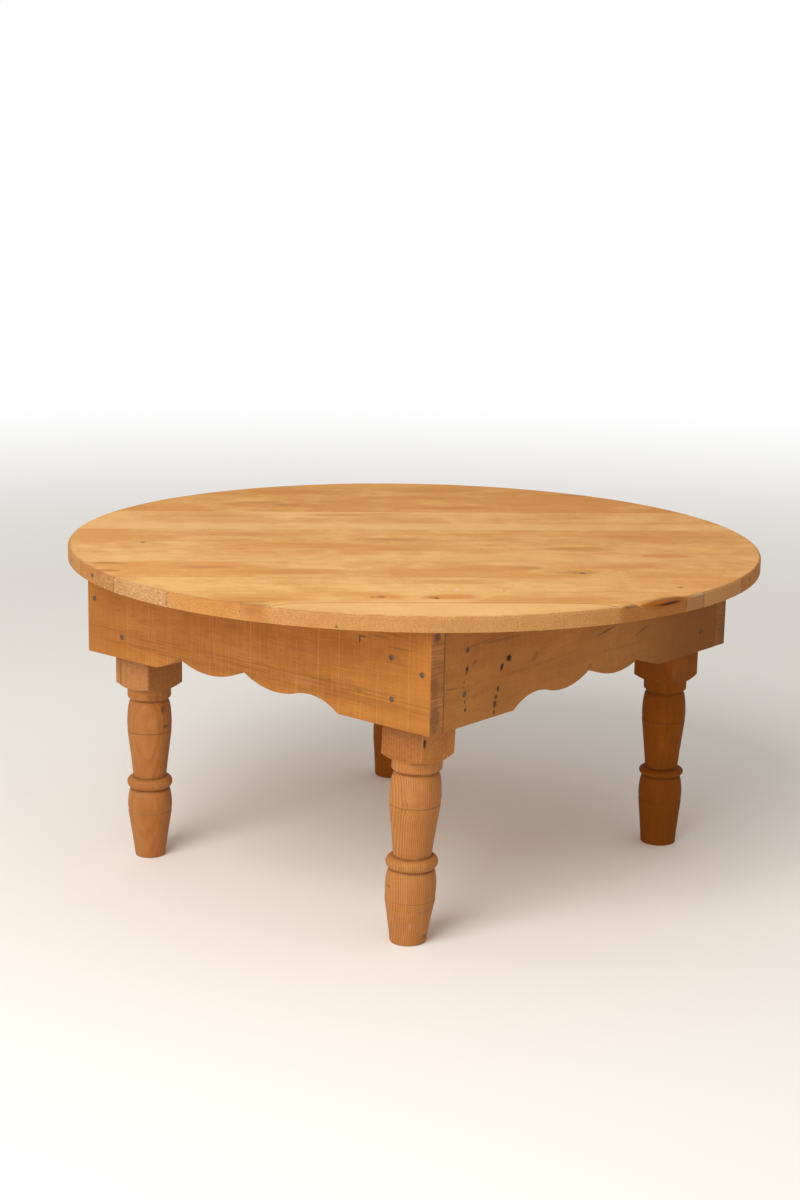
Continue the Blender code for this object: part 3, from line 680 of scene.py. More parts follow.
def tongue(tint, grain, along, across, level, seed):
    """The pale tongue at the front. Its edge lies at 359 mm across in the middle, and bends out
    slightly with the square of the distance along, and at its ends with the twelfth power."""
    apart = along / (190 * MM)
    squared = apart * apart
    past = across - (squared * (2 * MM) + squared**6 * (20 * MM) + 359 * MM)
    paler = grain.noise((22, 60, 60), seed + 81, 4, 0.65).spread(0.3, 0.7, 0.28, 0.52)
    tint = mix(past.spread(-0.3 * MM, 1.5 * MM) * paler, tint, CREAM)
    seam = abs(past).spread(2.2 * MM, 0.3 * MM, 0, 0.6)
    top = measure_top()[3]
    return mix(seam * level.spread(top - 5 * MM, top), tint, RESIN)


def rim_wood(tint, number, along, speckle, grime):
    """The top's wood as it is on the rim: speckled end wood under grime."""
    tint = mix(speckle.spread(0.34, 0.66, 0.55, 0.95), tint, RIM_TINTS.get(number, END_WOOD))
    tint = mix(grime.spread(0.5, 0.75, 0, 0.2), tint, (0.34, 0.13, 0.034))
    if number in TONGUE_BOARDS:
        # Right of the tongue the rim is browner for a while, then paler
        tint = mix(along.spread(184 * MM, 198 * MM, 0, 0.6), tint, (0.27, 0.085, 0.014))
        tint = mix(along.spread(272 * MM, 280 * MM, 0, 0.8), tint, RIM_TINTS[7])
    return tint


def joint_lines(tint, grain, across, rim, strip, seed):
    """A thin dark line of old glue and dust at each joint but the tongue's, plainer on the rim."""
    for edge, sign in zip(strip, (-1, 1)):
        if abs(edge) < FARTHEST_JOINT * MM:
            gap = abs(across - edge)
            patchy = grain.noise((14, 4, 4), seed + 71 + sign, rough=0.7).spread(0.35, 0.7, 0.1, 0.45)
            on_rim = rim * gap.spread(1.3 * MM, 0.3 * MM, 0, 0.4)
            line = (gap.spread(1.0 * MM, 0.2 * MM) * patchy).math("MAXIMUM", on_rim)
            tint = mix(line, tint, UMBER)
    return tint


def old_paint(tint, place, along, rim):
    """Scraps of old pale paint, and dirt between them, on the rim left of the front."""
    here = rim * (along.spread(-280 * MM, -312 * MM) * along.spread(-392 * MM, -368 * MM))
    scraps = place.noise((210, 210, 420), 4.0, 5, 0.75)
    tint = mix(here * scraps.spread(0.54, 0.70, 0, 0.55), tint, CHALK)
    return mix(here * scraps.spread(0.50, 0.36, 0, 0.6), tint, (0.20, 0.135, 0.095))


def rim_spots(number, strip):
    """The marks on a board's rim: the broken edge, a dark dot, and the ring round the nail."""
    spots = list(BREAK_MARKS) if number in TONGUE_BOARDS else []
    if number in RIM_DOTS:
        spots.append((*RIM_DOTS[number], INK, 0.9))
    tip, outward, full = measure_nail("nail_rim")
    head = (tip + outward * full) / MM
    nail_u, nail_v = in_board_frame(head)
    if strip[0] < nail_v * MM < strip[1]:
        spots.append(((nail_u, -nail_v, head[2]), (4.2, 4.2, 4.2), INK, 0.95))
    return spots


def top_finish(number):
    """Sanded boards with cloudy patches; the rim is granular end grain, dulled and worn."""
    settings = bpy.context.scene.tea_table_top
    timber = TOP_TIMBERS[number - 1]
    seed = timber.seed
    finish = Finish(f"top_board_{number}_wood", 0.15)
    place = finish.place
    grain = place.mapped(turn=(0, 0, -math.radians(45)))
    tint, height = draw_timber(grain, timber, settings.light, settings.dark)
    along, back, level = grain.parts()
    across = back * -1
    reach, radius, _, top, strips = measure_top()

    if number in SAPWOOD:
        start, strength = SAPWOOD[number]
        edge = grain.noise((6, 30, 30), seed + 61) * (26 * MM) + (start - 13) * MM
        tint = mix((across - edge).spread(-8 * MM, 14 * MM) * strength, tint, CREAM)
    marks = [
        ((u, -v, top / MM), (half_u, half_v, 14), mark_tint, strength)
        for u, v, half_u, half_v, mark_tint, strength in TOP_MARKS[number]
    ]
    tint = stain(tint, grain, marks, seed)
    if number in TONGUE_BOARDS:
        tint = tongue(tint, grain, along, across, level, seed)

    # How far out a place is: 1 at the rim
    out_along, out_across = along / reach, across / radius
    ragged = place.noise(130, seed + 15, 4, 0.7)
    out = (out_along * out_along + out_across * out_across) ** 0.5 + (ragged * 0.008 - 0.004)
    rim = out.spread(0.9915, 0.9975)
    speckle = place.noise(800, seed, rough=0.75)
    grime = place.noise((42, 42, 60), seed + 9, 4, 0.65)
    tint = mix(rim, tint, rim_wood(tint, number, along, speckle, grime))
    tint = joint_lines(tint, grain, across, rim, strips[number - 1], seed)
    # Wear along the rim's upper edge
    worn = out.spread(0.985, 0.9925) * grime.spread(0.42, 0.62) * 0.25
    tint = mix(worn, tint, (0.46, 0.19, 0.052))
    if number in PAINTED_BOARDS:
        tint = old_paint(tint, place, along, rim)
    tint = stain(tint, grain, rim_spots(number, strips[number - 1]), seed + 2)

    # The right of the top and its two back boards are a deeper orange
    deeper = (0.97, 0.90, 0.78) if number < 3 else (1, 1, 1)
    deepest = tuple(c * d for c, d in zip((0.96, 0.90, 0.82), deeper))
    tint = tint.tinted(mix(along.spread(60 * MM, 330 * MM), deeper, deepest))

    rough = rim * 0.15 + height.spread(0.2, 0.9, 0.50, 0.62)
    normal = height.bump(0.10 * MM)
    normal = grain.noise((5, 26, 26), seed + 2, 2, 0.5).bump(0.6 * MM, normal)
    normal = (speckle * rim).bump(0.5 * MM, normal)
    return finish.done(tint, rough, normal)


# Each frame board's timber, how strongly the marks of the saw and the dark band show, and the
# places along it, in mm, where the saw scored it. The right board was planed cleaner
FRAME_HABITS = {
    "front": (Timber(3.7, (-0.35, 0.05), 2.3, 3.0, 0.012, 0.26, 0.34, 0.45, 0.06), 1.0, 0.5,
              (-262, -204, -166, -134, -62, -30, 5, 78, 112, 143, 200, 245)),
    "right": (Timber(17.3, (0.30, 0.06), 2.7, 4.0, -0.010, 0.08, 0.20, 0.45, 0.12), 0.4, 0.05, ()),
    "back": (Timber(33.1, (-0.25, 0.05), 2.5, 4.0, 0.015, 0.28, 0.34, 0.45, -0.05), 0.8, 0.4,
             (-230, -160, -88, -31, 40, 108, 190, 236)),
    "left": (Timber(47.9, (0.28, 0.05), 2.6, 4.0, 0.010, 0.26, 0.34, 0.45, -0.05), 0.8, 0.4,
             (-241, -172, -96, -15, 62, 121, 187, 249)),
}
# Marks on the faces, in mm: the place along and its height; half sizes; lean; colour; strength
FRONT_MARKS = (
    (177, 362, 9, 1.6, 0, UMBER, 0.75), (173, 358, 1.7, 6, 0, INK, 0.7),
    (203, 366, 16, 1.6, 0.03, UMBER, 0.4), (232, 357, 24, 1.5, -0.03, UMBER, 0.35),
    (226, 371, 20, 1.6, 0, UMBER, 0.35), (173, 300, 10, 2, 0, UMBER, 0.45),
    (88, 295, 30, 8, 0.05, (0.60, 0.33, 0.16), 0.14), (230, 340, 26, 1.5, 0.02, UMBER, 0.3),
)
RIGHT_MARKS = (
    (-235.5, 331, 3.4, 4.6, 0, INK, 0.9), (-237, 326, 1.8, 3, 0, INK, 0.6),
    (-240, 317, 1.8, 2.6, 0, INK, 0.6), (-241, 311, 1.5, 2.2, 0, INK, 0.5),
    (-238, 294, 2.0, 3.4, 0, INK, 0.7), (-237, 285, 2.4, 3, 0, INK, 0.85),
    (-160.5, 330, 6.4, 5.4, -0.2, INK, 0.95), (-173, 322, 3.4, 6.4, -0.4, INK, 0.95),
    (-179, 298, 3.4, 4.2, 0, INK, 0.8), (-182, 289, 3.6, 3.6, 0, INK, 0.75),
    (-184, 281, 4.2, 5.6, 0, INK, 0.8), (-185, 272, 2.4, 4.4, 0, INK, 0.8),
    (-262, 313, 18, 1.4, -0.12, INK, 0.35), (32, 329, 26, 1.8, 0.17, UMBER, 0.75),
    (107, 317, 20, 1.8, 0.29, UMBER, 0.6), (-174, 354, 50, 1.7, -0.03, UMBER, 0.4),
    (-205, 357, 60, 1.8, 0.06, UMBER, 0.3), (-223, 336, 8, 4, 0.5, UMBER, 0.4),
    (-111, 323, 10, 6, 0.6, UMBER, 0.35), (-1, 291, 8, 3, 0.4, UMBER, 0.35),
    (-120, 312, 80, 1.7, 0.03, UMBER, 0.2), (60, 303, 110, 1.7, -0.03, UMBER, 0.15),
)
# Marks on the front board's end: the place across it and its height; half sizes; colour; strength
END_MARKS = (
    (-288, 375, 8, 9, (0.17, 0.075, 0.032), 0.8), (-288, 376, 4, 4.5, UMBER, 0.6),
    (-290, 318, 8, 20, (0.19, 0.068, 0.020), 0.4), (-290, 284, 11, 24, (0.17, 0.06, 0.018), 0.6),
)


def saw_lines(tint, grain, along, scored, seed):
    """A few pale upright lines that the saw scored, which drift and come and go."""
    drift = 3 * MM
    drifted = (grain.noise((3, 9, 3), seed + 41, 2, 0.5) - 0.5) * drift + along
    patchy = grain.noise((30, 16, 16), seed + 51)
    for number, place in enumerate(scored):
        gap = abs(drifted - place * MM)
        shown = patchy.spread(0.32, 0.6, 0.2, 0.06 + 0.05 * math.sin(2.4 * number))
        tint = mix(gap.spread(1.1 * MM, 0.2 * MM) * shown, tint, (0.74, 0.42, 0.19))
    return tint


def end_grain(grain, side, seed):
    """The wood on a frame board's ends: duller and browner, with its rings plain to see."""
    rings = grain.noise((10, 480, 40), seed + 59, 2)
    tint = mix(rings.spread(0.38, 0.64, 0, 0.7), (0.46, 0.190, 0.060), (0.27, 0.102, 0.028))
    smudge = grain.noise((10, 22, 22), seed + 60)
    tint = mix(smudge.spread(0.48, 0.7, 0, 0.5), tint, (0.20, 0.072, 0.021))
    # The back board's ends, at the far ends of the sides, get painted shade
    return mix(0.5, tint, (0.10, 0.036, 0.010)) if side == "back" else tint


def frame_finish(side):
    """Sawn boards: fine level grain, upright marks of the saw, dark streaks, and stains by the
    nails. X of the grain runs along the board, Y up, and Z through it."""
    settings = bpy.context.scene.tea_table_frame
    low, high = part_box(f"frame_board_{side}")
    timber, sawn, banded, scored = FRAME_HABITS[side]
    seed = timber.seed
    finish = Finish(f"frame_board_{side}_wood", 0.13)
    x, y, z = finish.place.parts()
    faces = finish.normal.parts()
    if side in ("front", "back"):
        grain, middle, facing = x.joined(z, y), (low.y + high.y) / 2, faces[0]
    else:
        grain, middle, facing = y.joined(z, x), (low.x + high.x) / 2, faces[1]
    grain = grain.mapped((0, -low.z, -middle))
    tint, height = draw_timber(grain, timber, settings.light, settings.dark)
    along, level = grain.parts()[:2]

    # A dark band of late wood along the lower third
    risen = grain.noise((5, 3, 3), seed + 8, 2, 0.5) * (-12 * MM) + level
    band = risen.spread(6 * MM, 14 * MM) * risen.spread(40 * MM, 28 * MM)
    streaks = grain.noise((5, 400, 60), seed + 19, rough=0.7).spread(0.43, 0.62, 0, banded)
    tint = mix(band * streaks, tint, (0.15, 0.050, 0.011))
    deeper = grain.noise((3, 20, 20), seed + 29)
    tint = mix(deeper.spread(0.42, 0.72, 0, 0.35), tint, (0.30, 0.095, 0.020))

    # Level fibres and upright ridges cross like a fine weave
    pale, shade = shaded(settings.light, 1.3), shaded(settings.dark, 0.75)
    threads = grain.noise((40, 760, 90), seed + 67, 2)
    weave = grain.noise((700, 26, 26), seed + 53, 2) * 0.5 + threads * 0.5
    tint = mix(weave.spread(0.46, 0.62, 0, 0.14 * sawn + 0.06), tint, pale)
    tint = mix(weave.spread(0.50, 0.38, 0, 0.13 * sawn + 0.06), tint, shade)

    tint = saw_lines(tint, grain, along, scored, seed)
    patches = grain.noise((46, 5, 5), seed + 57)
    tint = mix(patches.spread(0.45, 0.75, 0, 0.14), tint, shade)

    # The seen boards' own tones: the front one is darker at its ends, the right one is speckled
    if side == "front":
        tint = tint.tinted((1.07, 1.11, 1.14))
        tint = mix(along.spread(-170 * MM, -260 * MM, 0, 0.5), tint, settings.dark)
        tint = mix(along.spread(150 * MM, 230 * MM, 0, 0.3), tint, settings.dark)
    if side == "right":
        tint = tint.tinted((1.0, 1.09, 1.24))
        specks = finish.place.noise(420, seed + 77, 2)
        tint = mix(specks.spread(0.64, 0.74, 0, 0.4), tint, UMBER)

    tint = mix(abs(facing).spread(0.6, 0.9), tint, end_grain(grain, side, seed))
    if side == "right":
        # Painted shade: it is darker towards its far end, where less light reaches, and darker under
        # the overhang
        tint = mix(along.spread(0, 260 * MM, 0, 0.85), tint, (0.20, 0.065, 0.009))
        tint = mix(level.spread(104 * MM, 118 * MM, 0, 0.3), tint, UMBER)

    tint = stain(tint, finish.place, frame_marks(side), seed)
    normal = weave.bump(0.16 * MM, height.bump(0.10 * MM))
    return finish.done(tint, height.spread(0.2, 0.9, 0.58, 0.70), normal)


def frame_marks(side):
    """Stains round the nails of a frame board, with the cracks and scratches on its faces."""
    low, high = (np.array(corner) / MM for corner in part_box(f"frame_board_{side}"))
    marks = []
    for name in nail_names():
        if name.startswith(f"nail_{side}_"):
            tip, outward, full = measure_nail(name)
            marks.append(((tip + outward * full) / MM, (5, 5, 5), UMBER, 0.6))
    if side == "front":
        for x, z, half_x, half_z, lean, tint, strength in FRONT_MARKS:
            marks.append(((x, low[1], z), (half_x, 6, half_z), tint, strength, (0, lean, 0)))
        for y, z, half_y, half_z, tint, strength in END_MARKS:
            marks.append(((high[0], y, z), (3, half_y, half_z), tint, strength))
    if side == "right":
        for y, z, half_y, half_z, lean, tint, strength in RIGHT_MARKS:
            marks.append(((high[0], y, z), (6, half_y, half_z), tint, strength, (lean, 0, 0)))
        # The joint with the front board is open enough to hold dirt
        marks.append(((high[0], low[1], (low[2] + high[2]) / 2), (4, 2.2, 150), UMBER, 0.55))
    return marks


# The legs' timbers; the grain's Y runs across a leg as the table's front corner shows it
LEG_TIMBERS = {
    "front_right": Timber(5.1, (0.13, 0.01), 2.3, 3.0, 0.010, 0.66, 0.36, 0.35, 0.22),
    "front_left": Timber(15.7, (0.02, 0.06), 4.2, 5.0, 0.05, 0.34, 0.30, 0.40, -0.06),
    "back_right": Timber(25.3, (0.09, 0.05), 6.5, 6.0, 0.03, 0.12, 0.20, 0.40, 0.05),
    "back_left": Timber(35.9, (-0.08, 0.07), 4.0, 5.0, 0.02, 0.20, 0.26, 0.45, 0.60),
}
# A knot's centre and half sizes along the grain, and how far it pushes the rings out
LEG_KNOTS = {"front_right": (((0.171, -0.014, -0.022), (0.020, 0.013, 0.02), 3.6 * MM),)}
# The wood of a sawn block, where it isn't a shade of the leg's
BLOCK_WOODS = {"front_left": (0.46, 0.215, 0.080), "back_right": (0.25, 0.075, 0.010)}
# Painted light and shade on a block's front and right faces, as tints of the leg's wood: on the front
# right block the front face is painted darker and the right face lighter; on the front left block the
# right face is painted darker, as the table's underside shades it
FACE_LIGHT_AND_SHADE = {
    "front_right": ((0.88, 0.82, 0.74), (1.27, 1.24, 1.08)),
    "front_left": ((0.98, 0.97, 0.92), (0.84, 0.76, 0.60)),
}
# Knots and spots: up the leg, to the right as seen from the front corner, and back; half sizes up
# and across; colour and strength
LEG_MARKS = {
    "front_right": (
        (247, -1, -30, 7, 2.6, INK, 0.95), (71, -35, -8, 2, 2, UMBER, 0.7),
        (9, 8, -30, 8, 5.5, INK, 1.0), (43, 9, -30, 8, 9, UMBER, 0.2),
        (212, -16, -30, 8, 10, RESIN, 0.25), (171, -18, -30, 4, 4.5, RESIN, 0.3),
        (240, 25, -30, 22, 1.4, UMBER, 0.35), (26, -11, -30, 7, 3, CHALK, 0.1),
    ),
    "front_left": (
        (195, 17.5, -20, 7.5, 3.2, UMBER, 0.7), (173, 20.6, -18, 3.6, 4.0, UMBER, 0.75),
        (179, 3, -28, 10, 8, AMBER, 0.2), (214, -8, -26, 6, 20, RESIN, 0.4),
        (241, -35, -14, 30, 2.0, UMBER, 0.5), (212, 6, -27, 4, 12, UMBER, 0.35),
    ),
    "back_right": ((250, 3, -38, 20, 16, RESIN, 0.5), (244, 20, -24, 16, 7, RESIN, 0.4)),
    "back_left": ((140, 6, -26, 14, 6, RESIN, 0.4),),
}


def block_wood(tint, finish, corner, dark, on_block, seed):
    """The sawn block: duller than the turned part, with short level specks, and with painted light
    and shade on its two seen faces."""
    dull = finish.place.noise((150, 150, 420), seed + 3, rough=0.7).spread(0.42, 0.66, 0.3, 0.75)
    dull_tint = mix(dull, tint, BLOCK_WOODS.get(corner, shaded(dark, 0.9)))
    tint = mix(on_block, tint, dull_tint)
    # Painted light and shade: tints of the blocks' front and right faces, by the way they face
    if corner in FACE_LIGHT_AND_SHADE:
        to_right = finish.normal.parts()[0].spread(0.4, 0.8)
        tint = tint.tinted(mix(on_block, (1, 1, 1), mix(to_right, *FACE_LIGHT_AND_SHADE[corner])))
    return tint


def soiled_and_shaded_lines(tint, place, up, corner, seed):
    """Dirt in the scribed lines, and painted shade under the ring, over it and under the collar."""
    settings = bpy.context.scene.tea_table_legs
    lower_shift, upper_shift, ring_share = LEG_HABITS[corner]
    ring_half = settings.ring_half * ring_share
    patchy = place.noise(60, seed + 17).spread(0.3, 0.6, 0.35, 1)
    for line, half, strength in (
        (settings.upper_line + upper_shift * MM, 1.2 * MM, 0.5),
        (settings.lower_line + lower_shift * MM, 1.0 * MM, 0.28),
        (settings.ring - ring_half - MM, 2.4 * MM, 0.5),
        (settings.ring + ring_half + 0.8 * MM, 1.8 * MM, 0.5),
        (settings.collar_bottom - MM, 2.6 * MM, 0.6),
    ):
        # The dark lines under the ring, over it and under the collar are painted shade
        dirt_and_shade = abs(up - line).spread(half, half / 4) * patchy
        tint = mix(dirt_and_shade * strength, tint, UMBER)
    return tint


def leg_finish(corner):
    """Turned wood with upright grain, fine rings left by the gouge, and grooves with dirt and painted
    shade.
    """
    settings = bpy.context.scene.tea_table_legs
    block = measure_leg(corner)[0]
    timber = LEG_TIMBERS[corner]
    seed = timber.seed
    light, dark, gloss = settings.light, settings.dark, 0.2
    if "back" in corner:
        light, dark, gloss = settings.brown_light, settings.brown_dark, 0.05
    if corner == "front_left":
        light = shaded(light, 0.88)
    finish = Finish(f"leg_{corner}_wood", gloss)
    # X of the grain is up the leg, Y to the right as seen from the front corner, Z to the back
    upright = finish.place.mapped((-block[0], -block[1], 0))
    right, back, up = upright.mapped(turn=(0, 0, -math.radians(45))).parts()
    grain = up.joined(right, back)
    tint, height = draw_timber(grain, timber, light, dark, LEG_KNOTS.get(corner, ()))

    ends = (settings.collar_top, settings.collar_top + 3 * MM)
    on_block, on_turned = up.spread(*ends), up.spread(*reversed(ends))
    tint = block_wood(tint, finish, corner, dark, on_block, seed)
    if corner == "back_right":
        tint = mix(up.spread(130 * MM, 40 * MM, 0, 0.6), tint, settings.brown_dark)

    # Dirt in the scribed lines, and painted shade under the ring, over it and under the collar
    tint = soiled_and_shaded_lines(tint, finish.place, up, corner, seed)
    marks = [
        ((up_leg, across, behind), (half_up, half_across, 40), mark_tint, strength)
        for up_leg, across, behind, half_up, half_across, mark_tint, strength in LEG_MARKS[corner]
    ]
    tint = stain(tint, grain, marks, seed)

    chatter = grain.noise((760, 9, 9), seed + 37, 2) * on_turned
    normal = chatter.bump(0.10 * MM, height.bump(0.09 * MM))
    return finish.done(tint, height.spread(0.2, 0.9, 0.48, 0.62), normal)


def nail_finish():
    """Dull grey steel with blotches of rust."""
    settings = bpy.context.scene.tea_table_nails
    finish = Finish("nail_steel")
    blotch = finish.place.noise(420, detail=4, rough=0.65)
    rust = blotch.spread(0.46, 0.62)
    feed(finish.shader.inputs["Metallic"], rust * -0.5 + 0.55)
    tint = mix(rust, settings.steel, settings.rust)
    return finish.done(tint, rust * 0.35 + 0.42, blotch.bump(0.15 * MM))


# Pieces


class TEATABLE_OT_top_boards(bpy.types.Operator):
    """Builds the nine boards of the round top."""

    bl_idname = "teatable.top_boards"
    bl_label = "Build Top Boards"

    def board_rings(self, strip):
        """The board's loops from its underside to its upper face. A loop follows the round's
        edge, an oval of half sizes reach and radius less the inset, between the board's two
        straight edges, which it joins. The upper face drops near an edge as a circle does:
        the drop is the rounding, less the root of its square less that of the place's distance
        in from the rounding's inner side."""
        settings = bpy.context.scene.tea_table_top
        reach, radius, bottom, top, _ = measure_top()
        low, high = strip
        # The edge is broken away a little, right of the middle of the front: the rounding grows
        # there by the exponential of minus the fourth power of the turn from the break's middle
        chip_turn, chip_turns = 0.1565, 0.018
        arc = np.linspace(0, 1, 120)
        near_end = np.array([0, 0.25, 0.6, 1.1, 1.8, 2.6, 3.6, 5, 8]) * MM

        def loop(inset_share, drop_share, level):
            """One loop: shares of the rounding's radius to come in and to drop."""
            edge_in = settings.joint_round * inset_share
            floor_v = max(low + edge_in, -radius)
            ceiling_v = min(high - edge_in, radius)
            along, across, rounding = [], [], []
            for sign in (1, -1):
                first, last = (floor_v, ceiling_v) if sign > 0 else (ceiling_v, floor_v)
                start = math.asin(max(-1, min(1, first / radius)))
                end = math.asin(max(-1, min(1, last / radius)))
                angle = start + (end - start) * arc
                turns = np.arctan2(np.sin(angle), sign * np.cos(angle)) / (2 * np.pi)
                worn = settings.rim_round * (1 + settings.wear * uneven(turns, 5, 24))
                broken = np.exp(-(((turns - chip_turn) / chip_turns) ** 4))
                worn = worn * (1 + settings.chip * broken * (1 + 0.5 * uneven(turns, 77, 90)))
                inset = worn * inset_share
                v = np.clip((radius - inset) * np.sin(angle), floor_v, ceiling_v)
                u = sign * (reach - inset) * np.sqrt(np.clip(1 - (v / (radius - inset)) ** 2, 0, 1))
                along.append(u)
                across.append(v)
                rounding.append(worn)
                straight = ceiling_v if sign > 0 else floor_v
                if abs(straight) < radius - MM:
                    ends = sign * abs(u[-1])
                    inner = ends - sign * near_end[-1]
                    fan = ends - sign * near_end[1:]
                    middle = np.linspace(inner, -inner, 24)[1:-1]
                    line = np.concatenate([fan, middle, -fan[::-1]])
                    along.append(line)
                    across.append(np.full(line.shape, straight))
                    rounding.append(np.full(line.shape, worn[-1]))
            along, across = np.concatenate(along), np.concatenate(across)
            rounding = np.concatenate(rounding)
            if level is None:
                out = np.sqrt((along / reach) ** 2 + (across / radius) ** 2)
                distance = np.clip((1 - out) * radius, 0, rounding)
                drop = rounding - np.sqrt(rounding**2 - (rounding - distance) ** 2)
                joint_drop = settings.joint_round * drop_share
                height = top - np.maximum(drop, joint_drop)
            else:
                height = np.full(along.shape, level)
            return from_board_frame(along, across, height)

        foot_ease = 0.5 * MM
        loops = [
            loop(0.15, 0, bottom), loop(0.04, 0, bottom + foot_ease / 4),
            loop(0, 0, bottom + foot_ease), loop(0, 0, (bottom + top) / 2),
        ]
        loops += [loop(inset, drop, None) for inset, drop in zip(*quarter(8))]
        return np.stack(loops)

    def execute(self, context):
        for number, strip in enumerate(measure_top()[-1], 1):
            solid = f"top_board_{number}"
            add_drilled("sanded", solid, self.board_rings(strip), top_finish(number))
        return {"FINISHED"}


class TEATABLE_OT_frame_boards(bpy.types.Operator):
    """Builds the four scalloped boards of the frame."""

    bl_idname = "teatable.frame_boards"
    bl_label = "Build Frame Boards"

    def outline(self, half, depth, shift):
        """The board's face, anticlockwise from its lower left corner, with rounded lower
        corners: straight lines and arcs through three points, the scallop's moved by a shift."""
        s = bpy.context.scene.tea_table_frame
        steps = 22
        peak = (0, s.peak_rise)
        end = (s.end_reach, 0)
        lobe = (s.lobe_reach, s.lobe_rise)
        turning = (s.turn_reach, s.turn_rise)
        shoulder = (s.shoulder_reach, s.shoulder_rise)
        cusp = (s.cusp_reach, s.cusp_rise)
        corner = ((end[0] + cusp[0]) / 2, (end[1] + cusp[1]) / 2 - s.corner_bulge)
        flip = np.array([-1, 1])
        left = [arc_through(end, corner, cusp, steps), arc_through(cusp, lobe, peak, steps)]
        right = [arc_through(end, shoulder, turning, steps), arc_through(turning, lobe, peak, steps)]
        left, right = np.concatenate(left), np.concatenate(right)
        right = np.concatenate([right[::-1][1:], [end]]) - (shift, 0)
        left = left * flip - (shift, 0)
        soft = 1.6 * MM
        bow = soft * (1 - HALF_ROOT)
        lower_right = arc_through((half - soft, 0), (half - bow, bow), (half, soft), 4)
        lower_left = arc_through((-half, soft), (-half + bow, bow), (-half + soft, 0), 4)
        start = np.array([[-half + soft, 0]])
        return np.concatenate([
            start, line_to(start[0], (-end[0] - shift, 0), 14), left, right,
            line_to(right[-1], (half - soft, 0), 14), lower_right,
            line_to((half, soft), (half, depth), 12), line_to((half, depth), (-half, depth), 40),
            line_to((-half, depth), (-half, soft), 12)[:-1], [(-half, soft)], lower_left[:-1],
        ])

    def board_rings(self, side):
        """Loops from the outer face to the inner one: the outline, moved in square to itself by
        a quarter circle's inset near each face, with the radius worn unevenly along it."""
        s = bpy.context.scene.tea_table_frame
        low, high = (np.array(corner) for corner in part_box(f"frame_board_{side}"))
        size = high - low
        half = max(size[0], size[1]) / 2
        thickness = min(size[0], size[1])
        face = self.outline(half, size[2], s.front_shift if side == "front" else 0)
        seed = 10 + SIDES.index(side)
        step = np.linalg.norm(np.roll(face, -1, 0) - face, axis=1)
        turns = np.cumsum(step) / step.sum()
        before = face - np.roll(face, 1, 0)
        after = np.roll(face, -1, 0) - face
        before /= np.linalg.norm(before, axis=1)[:, None]
        after /= np.linalg.norm(after, axis=1)[:, None]
        heading = before + after
        heading /= np.linalg.norm(heading, axis=1)[:, None]
        inward = np.stack([-heading[:, 1], heading[:, 0]], -1)
        mitre = np.clip((heading * after).sum(1), 0.5, 1)
        wobble = 0.12 * MM * uneven(turns, seed, 60) * (face[:, 1] < size[2] / 3)
        ease = s.ease * (1 + 0.35 * uneven(turns, seed + 7, 40))
        insets, drops = quarter(5)
        loops = [(inset * ease, drop * ease) for inset, drop in zip(insets[::-1], drops[::-1])]
        loops += [(inset * ease, thickness - drop * ease) for inset, drop in zip(insets, drops)]
        rings = []
        for inset, depth in loops:
            moved = face + inward * ((inset + np.maximum(wobble, 0)) / mitre)[:, None]
            rings.append(np.concatenate([moved, np.broadcast_to(depth, ease.shape)[:, None]], 1))
        return self.placed(np.stack(rings), side, low, high)

    def placed(self, rings, side, low, high):
        """Turns (along, up, in) into X, Y and Z. The short sides are the long ones' mirror image,
        end for end, so that like halves meet at the front corner."""
        along, up, inward = rings[..., 0], rings[..., 1] + low[2], rings[..., 2]
        plans = {
            "front": (along, low[1] + inward), "back": (-along, high[1] - inward),
            "right": (high[0] - inward, -along), "left": (low[0] + inward, along),
        }
        return np.stack([*plans[side], up], -1)

    def execute(self, context):
        for side in SIDES:
            solid = f"frame_board_{side}"
            add_drilled("sawn", solid, self.board_rings(side), frame_finish(side))
        return {"FINISHED"}


